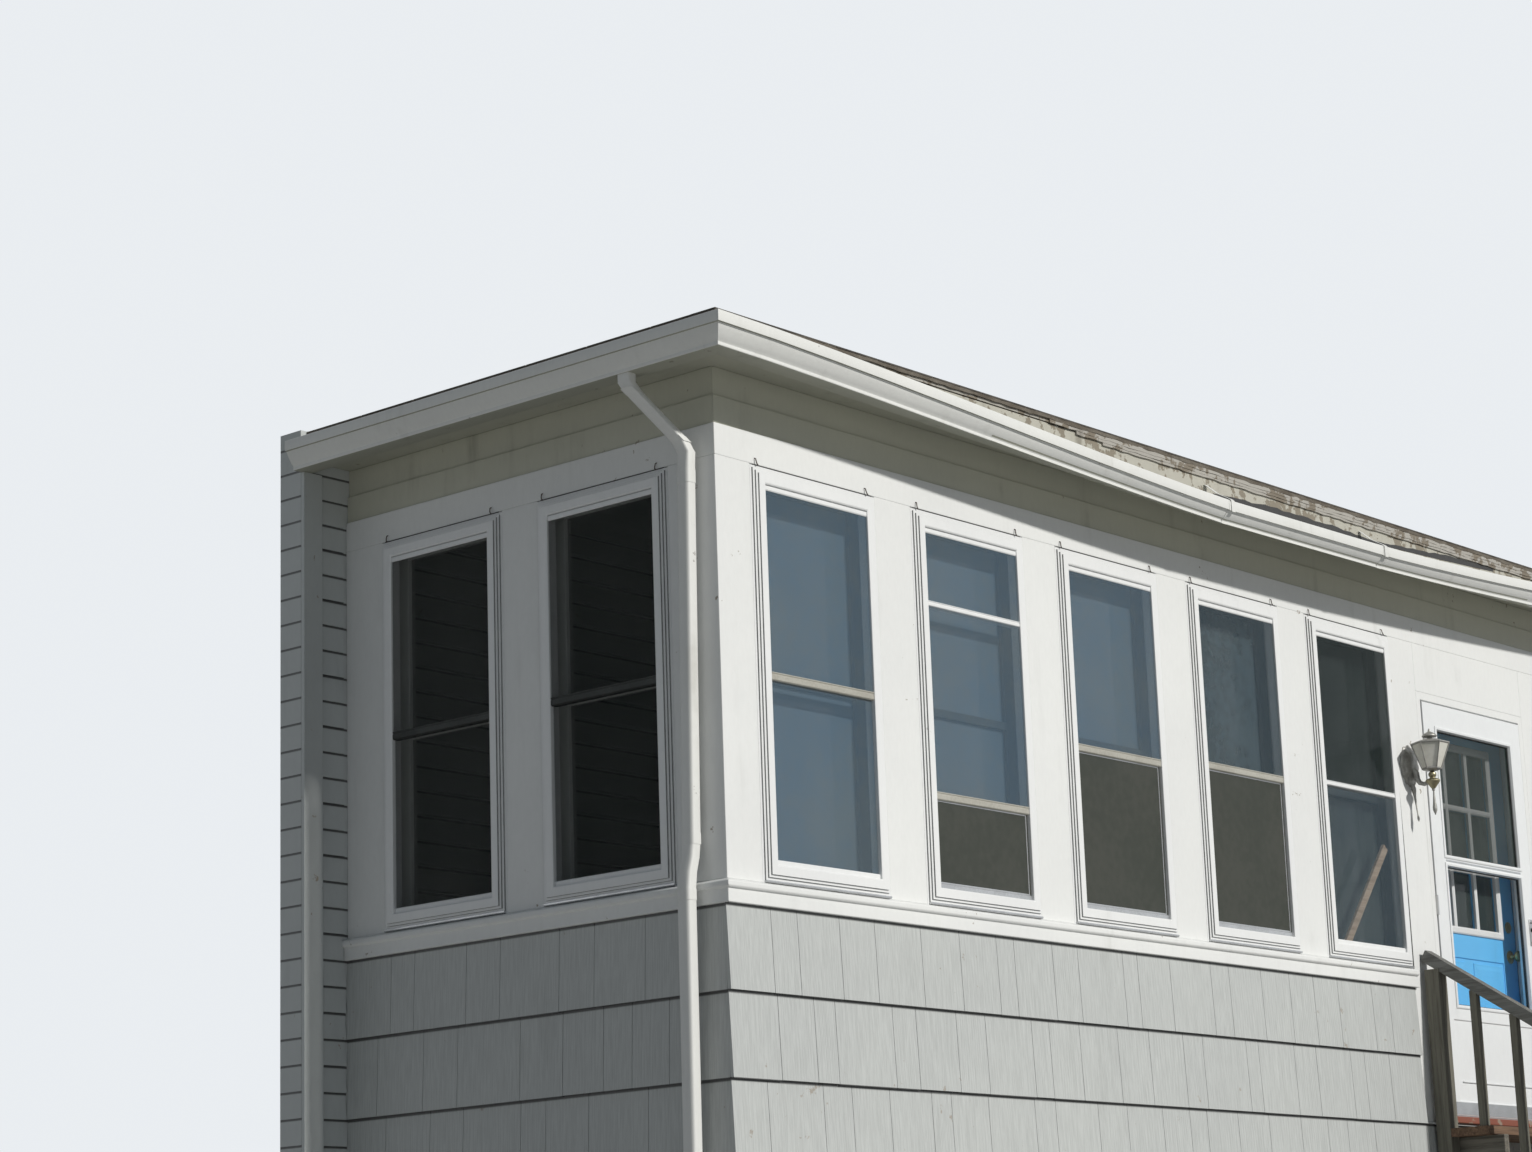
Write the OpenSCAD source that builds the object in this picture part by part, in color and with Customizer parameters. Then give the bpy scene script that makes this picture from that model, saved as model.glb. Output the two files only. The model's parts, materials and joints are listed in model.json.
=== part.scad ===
/* [Overall] */
// Height of the apron board's lower edge above the ground
apron_z = 1950; // [1850:1:2050]
// Thickness of the porch's window walls
wall_t = 150; // [135:1:165]

/* [Foundation and floor] */
// Height of the concrete foundation above the ground
foundation_h = 450; // [350:1:550]
// Thickness of the foundation walls
foundation_t = 200; // [170:1:240]
// Height of the floor's top below the apron board
floor_drop = 590; // [560:1:620]
// Thickness of the floor boards and their joists together
floor_t = 60; // [40:1:90]

/* [Shingled lower walls] */
// How far each course's butt stands out from the wall plane
butt_out = 16; // [8:1:22]
// How far each course's head stands out from the wall plane
head_out = 4; // [2:1:7]
// Courses of shingles between the foundation and the apron board
courses = 5; // [4:1:6]

/* [House wall] */
// Thickness of the slice of house wall behind the porch
house_wall_t = 120; // [100:1:150]
// How far the house wall runs past the porch at each end
house_past = 234; // [220:1:250]
// Width of the house's corner boards
corner_board_w = 95; // [85:1:110]
// Width of clapboard that shows to the weather
clapboard_h = 100; // [80:1:130]
// How far a clapboard's lower edge stands out
clapboard_out = 11; // [6:1:14]

/* [Windows] */
// Width of a front storm window over its frame
front_win_w = 710; // [690:1:716]
// Width of a side storm window over its frame
side_win_w = 660; // [640:1:670]
// Height of every storm window over its frame
win_h = 1522; // [1480:1:1540]
// Distance from a corner of the porch to the first front window
corner_gap = 188; // [170:1:200]
// Distance from one front window to the next
win_gap = 216; // [210:1:222]
// Distance from the front corner to the nearer side window
side_corner_gap = 230; // [220:1:240]
// Distance from the house wall to the farther side window
side_wall_gap = 208; // [190:1:225]
// Distance between the two windows of a side
side_win_gap = 187; // [175:1:195]
// Width of the storm frame's members
storm_member = 66; // [58:1:74]
// Depth of the storm frame inside the wall's face
storm_depth = 30; // [24:1:36]
// How far the storm frame stands out of the wall's face
storm_out = 19; // [12:1:24]
// Width of one step of the storm frame's outer edge
storm_step = 10; // [8:1:13]
// Height of the storm windows' meeting rail
rail_h = 32; // [26:1:40]
// Width of the wooden sash's members
sash_member = 66; // [62:1:76]
// Thickness of the wooden sashes
sash_t = 36; // [30:1:40]
// Depth of the wooden sashes behind the face of the casing
sash_set = 75; // [60:1:90]
// Thickness of the window glass
glass_t = 4; // [3:1:5]
// Thickness of an insect screen
screen_t = 2; // [1:0.5:3]

/* [Trim] */
// Height of the apron board and of the sill above it together
sill_h = 85; // [80:1:95]
// Height of the apron board alone
apron_h = 50; // [40:1:60]
// How far the apron board stands out
apron_out = 20; // [17:1:24]
// How far the nose of the sill stands out
sill_out = 32; // [27:1:40]
// How far the apron board runs past the sill's end at the door
apron_past = 16; // [8:1:22]
// Height of the head casing above the windows
head_casing_h = 118; // [100:1:130]
// Height of the frieze boards between the head casing and the soffit
frieze_h = 215; // [190:1:240]
// How far each frieze board sets back behind the one below it
frieze_step = 8; // [4:1:12]

/* [Doors] */
// Width of the door opening between its posts
door_w = 990; // [960:1:1010]
// Thickness of the door frame's jambs and head
jamb_t = 36; // [30:1:40]
// Height of the door opening's head above the apron board
door_head_rise = 1380; // [1340:1:1420]
// Thickness of the storm door
storm_door_t = 32; // [28:1:34]
// Width of the storm door's stiles
storm_stile = 106; // [90:1:120]
// Height of the storm door's bottom panel above the threshold
storm_panel_h = 495; // [460:1:540]
// Height of the middle of the storm door's middle rail above the apron board
storm_rail_rise = 607; // [580:1:640]
// Thickness of the entry door
entry_door_t = 44; // [38:1:46]
// Depth of the entry door's face behind the face of the casing
entry_set = 108; // [95:1:115]
// Width of the entry door's window
lite_w = 600; // [560:1:640]
// Height of one row of the entry door's panes
lite_row = 288; // [270:1:300]
// Height of the entry door's window sill above the apron board
lite_rise = 320; // [300:1:340]
// Clearance round each door leaf
leaf_gap = 7; // [7:1:9]
// Thickness of the threshold
threshold_t = 30; // [24:1:40]

/* [Roof and eaves] */
// Distance from the wall to the face of the fascia board
eave = 190; // [170:1:210]
// Height of the fascia board
fascia_h = 104; // [96:1:112]
// Thickness of the fascia, soffit and ceiling boards
board_t = 18; // [15:1:22]
// Rise of the roof for each unit of run
roof_slope = 0.25; // [0.2:0.01:0.3]
// Thickness of the roof boards and roofing together
roof_t = 36; // [30:1:44]
// How far the roofing runs out past the fascia
roof_over = 14; // [8:1:20]
// How far the ceiling's underside lies below the soffit
ceiling_drop = 50; // [40:1:80]

/* [Gutters] */
// Width of the gutter over its top
gutter_w = 128; // [115:1:135]
// Height of the gutter
gutter_h = 112; // [100:1:120]
// Thickness of the gutter's metal
gutter_t = 3; // [2:1:4]
// Height of the gutter's rim above the soffit
rim_lift = 63; // [50:1:72]
// How far the front gutter's back rim has dropped along its middle length
gutter_sag = 66; // [0:1:75]
// How far its front rim has sunk below the back one there
gutter_sink = 60; // [0:1:70]
// Where the first joint of the front gutter lies, from the left corner
joint_1_x = 2870; // [2700:1:3000]
// Where the second joint of the front gutter lies, from the left corner
joint_2_x = 4100; // [3900:1:4300]
// How far the gutter has risen again at the second joint
joint_rise = 7; // [0:1:20]
// Width of the downspout across the wall
spout_w = 62; // [54:1:70]
// Depth of the downspout out from the wall
spout_d = 50; // [44:1:56]

/* [Stair] */
// Number of treads
treads = 7; // [6:1:8]
// Run from one tread to the next
tread_run = 290; // [270:1:310]
// Depth of each tread, nose to back
tread_d = 262; // [255:1:268]
// Thickness of the treads
tread_t = 38; // [32:1:44]
// Height of the top tread below the apron board
top_tread_drop = 625; // [610:1:640]
// How far the outer face of a railing stands beyond the door opening
stair_past = 155; // [135:1:175]
// Thickness of a stringer
stringer_t = 40; // [34:1:46]
// Height of a stringer below the underside of the treads
stringer_h = 330; // [300:1:360]
// Width of a railing post
post_w = 70; // [60:1:80]
// Width of a baluster
baluster_w = 34; // [30:1:40]
// Distance from one baluster to the next
baluster_step = 187; // [170:1:200]
// Height of the handrail's top above the nose of a tread
rail_above = 800; // [760:1:850]
// Height of the handrail's section
handrail_h = 52; // [44:1:60]
// Width of the handrail's section
handrail_w = 58; // [50:1:66]

/* [Porch light] */
// Distance of the light's middle from the door opening's edge
light_x = 115; // [105:1:125]
// Height of the middle of the light's back plate above the apron board
light_rise = 1014; // [980:1:1050]
// Distance of the lamp's middle from the wall
light_out = 118; // [108:1:128]

/* [Hidden] */
$fn = 32;
win_pitch = front_win_w + win_gap;
front_wins = 5;
win_z = apron_z + sill_h;
head_z = win_z + win_h;
casing_top_z = head_z + head_casing_h;
soffit_z = casing_top_z + frieze_h;
last_win_end = corner_gap + (front_wins - 1) * win_pitch + front_win_w;
door_x = last_win_end + win_gap;
door_end = door_x + door_w;
far_win_x = door_end + win_gap;
far_corner_x = far_win_x + front_win_w;
porch_l = far_corner_x + corner_gap;
porch_d = side_wall_gap + 2 * side_win_w + side_win_gap + side_corner_gap;
LEFT = -porch_l / 2;
FRONT = -(house_wall_t + porch_d);
front_win_xs = concat([for (i = [0:front_wins - 1]) corner_gap + i * win_pitch], [far_win_x]);
side_win_xs = [side_wall_gap, side_wall_gap + side_win_w + side_win_gap];
// Height of each window's meeting rail above the bottom of its frame
front_rails = [747, 415, 709, 743, 773, 747];
side_rails = [747, 747];
// A second bar across the second front window, whose sash hangs low
low_sash_bar = 1154;
screened_wins = [1, 2, 3];
floor_z = apron_z - floor_drop;
threshold_z = floor_z + threshold_t;
door_head_z = apron_z + door_head_rise;
course_h = (apron_z - foundation_h) / courses;
leaf_w = door_w - 2 * jamb_t - 2 * leaf_gap;
leaf_h = door_head_z - jamb_t - threshold_z - 2 * leaf_gap;
leaf_x = door_x + jamb_t + leaf_gap;
leaf_z = threshold_z + leaf_gap;
storm_set = -4;
fascia_top_z = soffit_z - board_t + fascia_h;
eave_roof_z = fascia_top_z + roof_t;
roof_out = eave + roof_over;
rise_per_tread = (apron_z - top_tread_drop) / treads;
stair_x = door_x + door_w / 2;
stair_half_w = door_w / 2 + stair_past;
tread_1_z = apron_z - top_tread_drop;
rim_z = soffit_z + rim_lift;
cut_reach = 600;
cut_h = 2 * soffit_z;

// Places a piece drawn against the front wall: x from the left corner, y inwards from its face
module on_front() {
    translate([LEFT, FRONT, 0]) children();
}

// Places a piece drawn against the left wall: x from the house, y inwards from its face
module on_left() {
    translate([LEFT, -house_wall_t, 0]) rotate([0, 0, -90]) children();
}

// Places the same piece against the right wall
module on_right() {
    mirror([1, 0, 0]) on_left() children();
}

// Runs an outline of (y, z) points along x, from x0 to x1
module run(outline, x0, x1) {
    translate([x0, 0, 0]) rotate([90, 0, 90]) linear_extrude(height = x1 - x0) polygon(outline);
}

// Keeps what lies inside the mitre lines of a wall: 1 for an end that turns a corner, 0 for none
module mitred(len, start_turns, end_turns, deep = cut_reach) {
    intersection() {
        children();
        linear_extrude(height = cut_h) polygon([
            [start_turns * -deep, -deep], [len + end_turns * deep, -deep],
            [len, 0], [len - end_turns * deep, deep], [start_turns * deep, deep], [0, 0]]);
    }
}

// The stepped outer face of shingle courses, from the lower edge up
function course_face(z0, rows, h) = [for (i = [0:rows - 1]) each
    [[-butt_out, z0 + i * h], [-head_out, z0 + (i + 1) * h]]];

function shingled(z0, rows) = concat([[wall_t, z0]], course_face(z0, rows, course_h),
    [[wall_t, z0 + rows * course_h]]);

module foundation_run(len, start_turns, end_turns) {
    mitred(len, start_turns, end_turns)
        run([[0, 0], [foundation_t, 0], [foundation_t, foundation_h], [0, foundation_h]],
            start_turns * -cut_reach, len + end_turns * cut_reach);
}

module foundation_front() {
    color("silver") on_front() foundation_run(porch_l, 1, 1);
}

module foundation_left() {
    color("silver") on_left() foundation_run(porch_d, 0, 1);
}

module foundation_right() {
    color("silver") on_right() foundation_run(porch_d, 0, 1);
}

module lower_wall_front() {
    color("lightsteelblue") on_front() mitred(last_win_end, 1, 0)
        run(shingled(foundation_h, courses), -cut_reach, last_win_end);
}

// The wall below the door, up to its threshold
module lower_wall_door() {
    rows = floor((floor_z - foundation_h) / course_h);
    top = foundation_h + rows * course_h;
    color("lightsteelblue") on_front() run(concat([[wall_t, foundation_h]],
        course_face(foundation_h, rows, course_h), [[-butt_out, top], [-butt_out / 2, floor_z],
        [wall_t, floor_z]]), last_win_end, far_win_x);
}

module lower_wall_far() {
    color("lightsteelblue") on_front() translate([far_win_x, 0, 0])
        mitred(porch_l - far_win_x, 0, 1)
            run(shingled(foundation_h, courses), 0, porch_l - far_win_x + cut_reach);
}

module lower_wall_side() {
    mitred(porch_d, 0, 1) run(shingled(foundation_h, courses), 0, porch_d + cut_reach);
}

module lower_wall_left() {
    color("slategray") on_left() lower_wall_side();
}

module lower_wall_right() {
    color("slategray") on_right() lower_wall_side();
}

// The roof's top surface at a distance in from its edge
function roof_top_z(run_in) = eave_roof_z + roof_slope * run_in;

// Clapboards, each standing out at its lower edge, from one end and height to another
module clapboards(x0, x1, z0, z1) {
    boards = floor((z1 - z0) / clapboard_h);
    run(concat([[house_wall_t / 2, z0]],
        [for (i = [0:boards - 1]) each [[-clapboard_out, z0 + i * clapboard_h],
            [-1, z0 + (i + 1) * clapboard_h]]],
        [[house_wall_t / 2, z0 + boards * clapboard_h]]), x0, x1);
}

// The slice of house wall that the porch leans on, up to the line where the roof meets it
house_half_l = house_past - LEFT;
strip_end = house_half_l - corner_board_w;
module house_wall() {
    ridge_run = porch_d + roof_out;
    color("gainsboro") {
        rotate([90, 0, 0]) linear_extrude(height = house_wall_t) polygon([
            [-house_half_l, 0], [house_half_l, 0], [house_half_l, roof_top_z(0)],
            [-LEFT + roof_out, roof_top_z(0)], [-LEFT + roof_out - ridge_run, roof_top_z(ridge_run)],
            [LEFT - roof_out + ridge_run, roof_top_z(ridge_run)], [LEFT - roof_out, roof_top_z(0)],
            [-house_half_l, roof_top_z(0)]]);
        translate([0, -house_wall_t, 0]) {
            clapboards(LEFT + wall_t, -LEFT - wall_t, floor_z, soffit_z);
            for (side = [0, 1]) mirror([side, 0, 0]) difference() {
                clapboards(-LEFT + butt_out + 2, strip_end, foundation_h, soffit_z - clapboard_h);
                translate([-LEFT, -2 * clapboard_out, apron_z - 1])
                    cube([sill_out + 1, 2 * clapboard_out, win_z - apron_z + 2]);
            }
        }
    }
}

// The boards at the house's corners, which the clapboards run up to
module house_corner_boards() {
    color("white") for (x = [-house_half_l, strip_end])
        translate([x, -house_wall_t - board_t, foundation_h])
            cube([corner_board_w, board_t, rim_z - gutter_h - foundation_h]);
}

module porch_floor() {
    color("slategray") translate([LEFT + wall_t, FRONT + wall_t, floor_z - floor_t])
        cube([porch_l - 2 * wall_t, porch_d - wall_t, floor_t]);
}

// A post that turns the front corner, from the sill up to the frieze
module corner_post() {
    linear_extrude(height = head_z - win_z) polygon([[0, 0], [corner_gap, 0],
        [corner_gap, wall_t], [wall_t, side_corner_gap], [0, side_corner_gap]]);
}

module corner_posts() {
    color("whitesmoke") for (side = [0, 1]) mirror([side, 0, 0])
        translate([LEFT, FRONT, win_z]) corner_post();
}

module door_posts() {
    color("white") on_front() for (x = [last_win_end, door_end])
        translate([x, 0, floor_z]) cube([win_gap, wall_t, head_z - floor_z]);
}

module front_mullions() {
    color("white") on_front() for (i = [0:front_wins - 2])
        translate([front_win_xs[i] + front_win_w, 0, win_z])
            cube([win_gap, wall_t, head_z - win_z]);
}

module side_mullion_pair() {
    translate([0, 0, win_z]) cube([side_wall_gap, wall_t, head_z - win_z]);
    translate([side_wall_gap + side_win_w, 0, win_z])
        cube([side_win_gap, wall_t, head_z - win_z]);
}

module side_mullions() {
    color("lightgray") {
        on_left() side_mullion_pair();
        on_right() side_mullion_pair();
    }
}

// The sill's outline: a flat seat for the frames and a sloping nose over the apron board
sill_outline = [[wall_t, apron_z + apron_h], [wall_t, win_z], [0, win_z],
    [-sill_out + 4, win_z - 9], [-sill_out, win_z - 14], [-sill_out, apron_z + apron_h + 6],
    [-sill_out + 5, apron_z + apron_h]];
apron_outline = [[wall_t, apron_z], [wall_t, apron_z + apron_h], [-apron_out, apron_z + apron_h],
    [-apron_out, apron_z]];

module front_sill() {
    color("white") on_front() {
        mitred(last_win_end, 1, 0) {
            union() {
                run(sill_outline, -cut_reach, last_win_end);
                run(apron_outline, -cut_reach, last_win_end);
            }
        }
        translate([last_win_end - 1, -apron_out, apron_z]) cube([apron_past + 1, apron_out, apron_h]);
    }
}

module far_sill() {
    color("white") on_front() translate([far_win_x, 0, 0]) mitred(porch_l - far_win_x, 0, 1) {
        union() {
            run(sill_outline, 0, porch_l - far_win_x + cut_reach);
            run(apron_outline, 0, porch_l - far_win_x + cut_reach);
        }
    }
}

module side_sill() {
    mitred(porch_d, 0, 1) {
        union() {
            run(sill_outline, 0, porch_d + cut_reach);
            run(apron_outline, 0, porch_d + cut_reach);
        }
    }
}

module left_sill() {
    color("lightgray") on_left() side_sill();
}

module right_sill() {
    color("lightgray") on_right() side_sill();
}

// Head casing below, and two frieze boards above it, each set back a little
frieze_mid_z = (casing_top_z + soffit_z) / 2;
frieze_outline = [[wall_t, head_z], [wall_t, soffit_z], [2 * frieze_step, soffit_z],
    [2 * frieze_step, frieze_mid_z], [frieze_step, frieze_mid_z], [frieze_step, casing_top_z],
    [0, casing_top_z], [0, head_z]];

module front_frieze() {
    color("ivory") on_front() mitred(porch_l, 1, 1)
        run(frieze_outline, -cut_reach, porch_l + cut_reach);
}

module side_frieze() {
    mitred(porch_d, 0, 1) run(frieze_outline, 0, porch_d + cut_reach);
}

module left_frieze() {
    color("darkkhaki") on_left() side_frieze();
}

module right_frieze() {
    color("darkkhaki") on_right() side_frieze();
}

// The board between the door's head and the head casing
module door_header() {
    color("white") on_front() translate([door_x, 0, door_head_z])
        cube([door_w, wall_t, head_z - door_head_z]);
}

// One storm window's frame with its meeting rail
module storm_frame(w, rail, bar) {
    steps = 3;
    rail_depth = storm_depth + storm_out - 6;
    rotate([90, 0, 0]) translate([0, 0, -storm_depth]) {
        difference() {
            for (i = [0:steps]) translate([i * storm_step, i * storm_step, 0])
                linear_extrude(height = storm_depth + storm_out * i / steps)
                    square([w - 2 * i * storm_step, win_h - 2 * i * storm_step]);
            translate([storm_member, storm_member, -1])
                linear_extrude(height = storm_depth + storm_out + 2)
                    square([w - 2 * storm_member, win_h - 2 * storm_member]);
        }
        translate([storm_member - 1, rail - rail_h / 2, 2])
            cube([w - 2 * storm_member + 2, rail_h, rail_depth]);
        if (bar > 0) translate([storm_member - 1, bar - rail_h / 2, 2])
            cube([w - 2 * storm_member + 2, rail_h, rail_depth]);
    }
}

module front_storm_frames() {
    color("snow") on_front() for (i = [0:front_wins])
        translate([front_win_xs[i], 0, win_z])
            storm_frame(front_win_w, front_rails[i], i == 1 ? low_sash_bar : 0);
}

module side_storm_pair() {
    for (i = [0, 1]) translate([side_win_xs[i], 0, win_z])
        storm_frame(side_win_w, side_rails[i], 0);
}

module side_storm_frames() {
    color("lightgray") {
        on_left() side_storm_pair();
        on_right() side_storm_pair();
    }
}

// A pane between two heights of a window, set at a depth behind the casing's face
module pane(w, z0, z1, depth, t) {
    translate([storm_member, depth, z0]) cube([w - 2 * storm_member, t, z1 - z0]);
}

upper_pane_y = 9 - storm_out;
lower_pane_y = upper_pane_y + 2 * glass_t;

module storm_panes(w, rail, bar, has_lower) {
    upper_end = win_h - storm_member;
    pane(w, rail + rail_h / 2, bar > 0 ? bar - rail_h / 2 : upper_end, upper_pane_y, glass_t);
    if (bar > 0) pane(w, bar + rail_h / 2, upper_end, upper_pane_y, glass_t);
    if (has_lower) pane(w, storm_member, rail - rail_h / 2, lower_pane_y, glass_t);
}

module storm_glass() {
    color("lightblue") {
        on_front() for (i = [0:front_wins]) translate([front_win_xs[i], 0, win_z])
            storm_panes(front_win_w, front_rails[i], i == 1 ? low_sash_bar : 0,
                len(search(i, screened_wins)) == 0);
        for (side = [0, 1]) mirror([side, 0, 0]) on_left() for (i = [0, 1])
            translate([side_win_xs[i], 0, win_z]) storm_panes(side_win_w, side_rails[i], 0, true);
    }
}

// The insect screens in the lower halves of three front windows
module window_screens() {
    color("dimgray") on_front() for (i = screened_wins) translate([front_win_xs[i], 0, win_z])
        pane(front_win_w, storm_member, front_rails[i] - rail_h / 2, lower_pane_y, screen_t);
}

// One window's pair of wooden sashes, fixed in line behind the storm window
module sash_pair(w) {
    mid = win_h / 2;
    rotate([90, 0, 0]) translate([0, 0, -sash_set - sash_t]) difference() {
        linear_extrude(height = sash_t) square([w, win_h]);
        for (z = [sash_member, mid + rail_h / 2]) translate([sash_member, z, -1])
            linear_extrude(height = sash_t + 2)
                square([w - 2 * sash_member, mid - sash_member - rail_h / 2]);
    }
}

module window_sashes() {
    color("whitesmoke") {
        on_front() for (x = front_win_xs) translate([x, 0, win_z]) sash_pair(front_win_w);
        for (side = [0, 1]) mirror([side, 0, 0]) on_left() for (x = side_win_xs)
            translate([x, 0, win_z]) sash_pair(side_win_w);
    }
}

module sash_panes(w) {
    pane_h = win_h / 2 - sash_member - rail_h / 2;
    for (z = [sash_member, win_h / 2 + rail_h / 2])
        translate([sash_member, sash_set + sash_t / 2, z])
            cube([w - 2 * sash_member, glass_t, pane_h]);
}

module sash_glass() {
    color("lightblue") {
        on_front() for (x = front_win_xs) translate([x, 0, win_z]) sash_panes(front_win_w);
        for (side = [0, 1]) mirror([side, 0, 0]) on_left() for (x = side_win_xs)
            translate([x, 0, win_z]) sash_panes(side_win_w);
    }
}

// Jambs and head round both doors, with a stop between the two leaves
stop_out = 14;
leaf_clear = 5;
module door_frame() {
    opening_h = door_head_z - threshold_z;
    stop_y = storm_set + storm_door_t + leaf_clear;
    color("white") on_front() rotate([90, 0, 0]) {
        for (part = [[0, entry_set + entry_door_t, jamb_t],
            [stop_y, entry_set - leaf_clear, jamb_t + stop_out]])
            translate([door_x, threshold_z, -part[1]]) linear_extrude(height = part[1] - part[0])
                difference() {
                    square([door_w, opening_h]);
                    translate([part[2], -1]) square([door_w - 2 * part[2],
                        opening_h - part[2] + 1]);
                }
    }
}

module threshold() {
    color("sienna") on_front() translate([door_x, -28, floor_z])
        cube([door_w, wall_t + 28, threshold_t]);
}

// The storm door leaf: an upper and a lower light, each from one height to another, over a
// plain panel
storm_rail_z = apron_z + storm_rail_rise - leaf_z;
storm_rail_half = 22;
storm_top_rail = 118;
storm_lights = [[storm_panel_h, storm_rail_z - storm_rail_half],
    [storm_rail_z + storm_rail_half, leaf_h - storm_top_rail]];
panel_margin = 65;
panel_sink = 6;
module storm_door() {
    color("white") on_front() translate([leaf_x, storm_set, leaf_z]) difference() {
        cube([leaf_w, storm_door_t, leaf_h]);
        for (light = storm_lights) translate([storm_stile, -1, light[0]])
            cube([leaf_w - 2 * storm_stile, storm_door_t + 2, light[1] - light[0]]);
        translate([panel_margin, -1, panel_margin]) cube([leaf_w - 2 * panel_margin,
            1 + panel_sink, storm_panel_h - 2 * panel_margin]);
    }
}

module storm_door_glass() {
    color("lightblue") on_front() translate([leaf_x, storm_set, leaf_z])
        for (light = storm_lights)
            translate([storm_stile, storm_door_t / 2 - glass_t / 2, light[0]])
                cube([leaf_w - 2 * storm_stile, glass_t, light[1] - light[0]]);
}

handle_rise = 330;
module storm_door_handle() {
    color("silver") on_front() translate([leaf_x + leaf_w - 52, storm_set,
        apron_z + handle_rise]) {
        translate([-12, -7, -55]) cube([24, 7, 110]);
        rotate([90, 0, 0]) cylinder(r = 9, h = 38);
        translate([0, -36, 0]) rotate([0, -90, 0]) cylinder(r = 7, h = 78);
    }
}

// Three hinges of a leaf: a plate that stands on the jamb's edge, so far behind the leaf's
// face, and a barrel that clears the leaf's corner
hinge_offset = 3;
hinge_h = 90;
hinge_plate_t = 3;
hinge_web_t = 2;
barrel_r = 3.9;
hinge_rises = [160, 900, 1640];
module hinges(jamb_back) {
    plate_x = -leaf_gap - hinge_plate_t;
    plate_y = -hinge_offset - hinge_web_t;
    for (rise = hinge_rises) translate([0, 0, leaf_z + rise]) {
        translate([-hinge_offset, -hinge_offset, 0]) cylinder(r = barrel_r, h = hinge_h);
        translate([plate_x, plate_y, 0]) cube([-hinge_offset - plate_x, hinge_web_t, hinge_h]);
        translate([plate_x, plate_y, 0]) cube([hinge_plate_t, jamb_back - plate_y, hinge_h]);
    }
}

module storm_door_hinges() {
    color("silver") on_front() translate([leaf_x, storm_set, 0]) hinges(-storm_set);
}

module entry_door_hinges() {
    color("goldenrod") on_front() translate([leaf_x, entry_set + entry_door_t, 0])
        mirror([0, 1, 0]) hinges(0);
}

// The entry door: nine panes in three columns and three rows, over a sunk panel
lite_bar = 22;
lite_col = (lite_w - 2 * lite_bar) / 3;
lite_z = apron_z + lite_rise - leaf_z;
lite_corners = [for (i = [0:2]) for (j = [0:2])
    [(leaf_w - lite_w) / 2 + i * (lite_col + lite_bar), lite_z + lite_bar / 2 + j * lite_row]];
module entry_door() {
    color("dodgerblue") on_front() translate([leaf_x, entry_set, leaf_z]) difference() {
        cube([leaf_w, entry_door_t, leaf_h]);
        for (corner = lite_corners) translate([corner[0], -1, corner[1]])
            cube([lite_col, entry_door_t + 2, lite_row - lite_bar]);
        translate([2 * panel_margin, -1, 3 * panel_margin]) cube([leaf_w - 4 * panel_margin,
            1 + panel_sink, lite_z - 5 * panel_margin]);
    }
}

module entry_door_glass() {
    color("lightblue") on_front() translate([leaf_x, entry_set, leaf_z])
        for (corner = lite_corners) translate([corner[0], entry_door_t / 2, corner[1]])
            cube([lite_col, glass_t, lite_row - lite_bar]);
}

knob_rise = 225;
module entry_door_knob() {
    color("goldenrod") on_front() translate([leaf_x + leaf_w - 66, entry_set,
        apron_z + knob_rise]) for (turn = [0, 1])
            translate([0, turn * entry_door_t, 0]) mirror([0, turn, 0])
                rotate([90, 0, 0]) rotate_extrude() polygon([[0, 0], [30, 0], [30, 5], [11, 8],
                    [11, 26], [24, 34], [26, 44], [20, 54], [0, 58]]);
}

// The porch light: a scalloped back plate with a tail, an arm, a turned bowl and tail, a
// six-rod cage that widens upwards, and a cap with a mushroom finial
cage_rods = 6;
cage_low = [38, 2];
cage_high = [73, 118];
dish_top = 6;
cap_z = 114;
lamp_z = light_rise - 30;
arm_w = 12;
arm_drop = 84;
plate_half = [[0, -97], [40, -84], [56, -62], [72, -42], [74, -8], [80, 14], [70, 50], [46, 66],
    [30, 86], [0, 97]];

module plate(size, t) {
    rotate([90, 0, 0]) linear_extrude(height = t) scale(size)
        polygon(concat(plate_half, [for (i = [len(plate_half) - 2:-1:1])
            [-plate_half[i][0], plate_half[i][1]]]));
}

module porch_light() {
    cage_lean = atan2(cage_high[0] - cage_low[0], cage_high[1] - cage_low[1]);
    cage_l = norm(cage_high - cage_low);
    color("darkkhaki") on_front() translate([door_x - light_x, 0, apron_z]) {
        translate([0, 0, light_rise]) {
            plate(1, 8);
            plate(0.78, 18);
        }
        translate([-arm_w / 2, -light_out + arm_w, light_rise - arm_drop])
            cube([arm_w, light_out - arm_w - 4, arm_w]);
        translate([0, -light_out, lamp_z]) {
            rotate_extrude() polygon([[0, -210], [3, -207], [11, -182], [4, -98], [9, -86],
                [24, -66], [33, -54], [30, -46], [13, -40], [18, -28], [17, -18], [9, -8],
                [38, -4], [42, 0], [42, dish_top], [0, dish_top]]);
            rotate_extrude() polygon([[0, cap_z], [76, cap_z], [78, 120], [56, 130], [26, 138],
                [11, 141], [11, 146], [31, 148], [35, 153], [27, 164], [11, 173], [5, 178],
                [0, 187]]);
            for (i = [0:cage_rods - 1]) rotate([0, 0, i * 360 / cage_rods])
                translate([cage_low[0], 0, cage_low[1]]) rotate([0, cage_lean, 0])
                    cylinder(r = 2.5, h = cage_l);
        }
        translate([0, -13, light_rise - 96]) rotate_extrude() polygon([[0, 14], [8, 10],
            [12, -8], [9, -28], [5, -60], [3, -110], [6, -140], [3, -158], [0, -160]]);
    }
}

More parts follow.
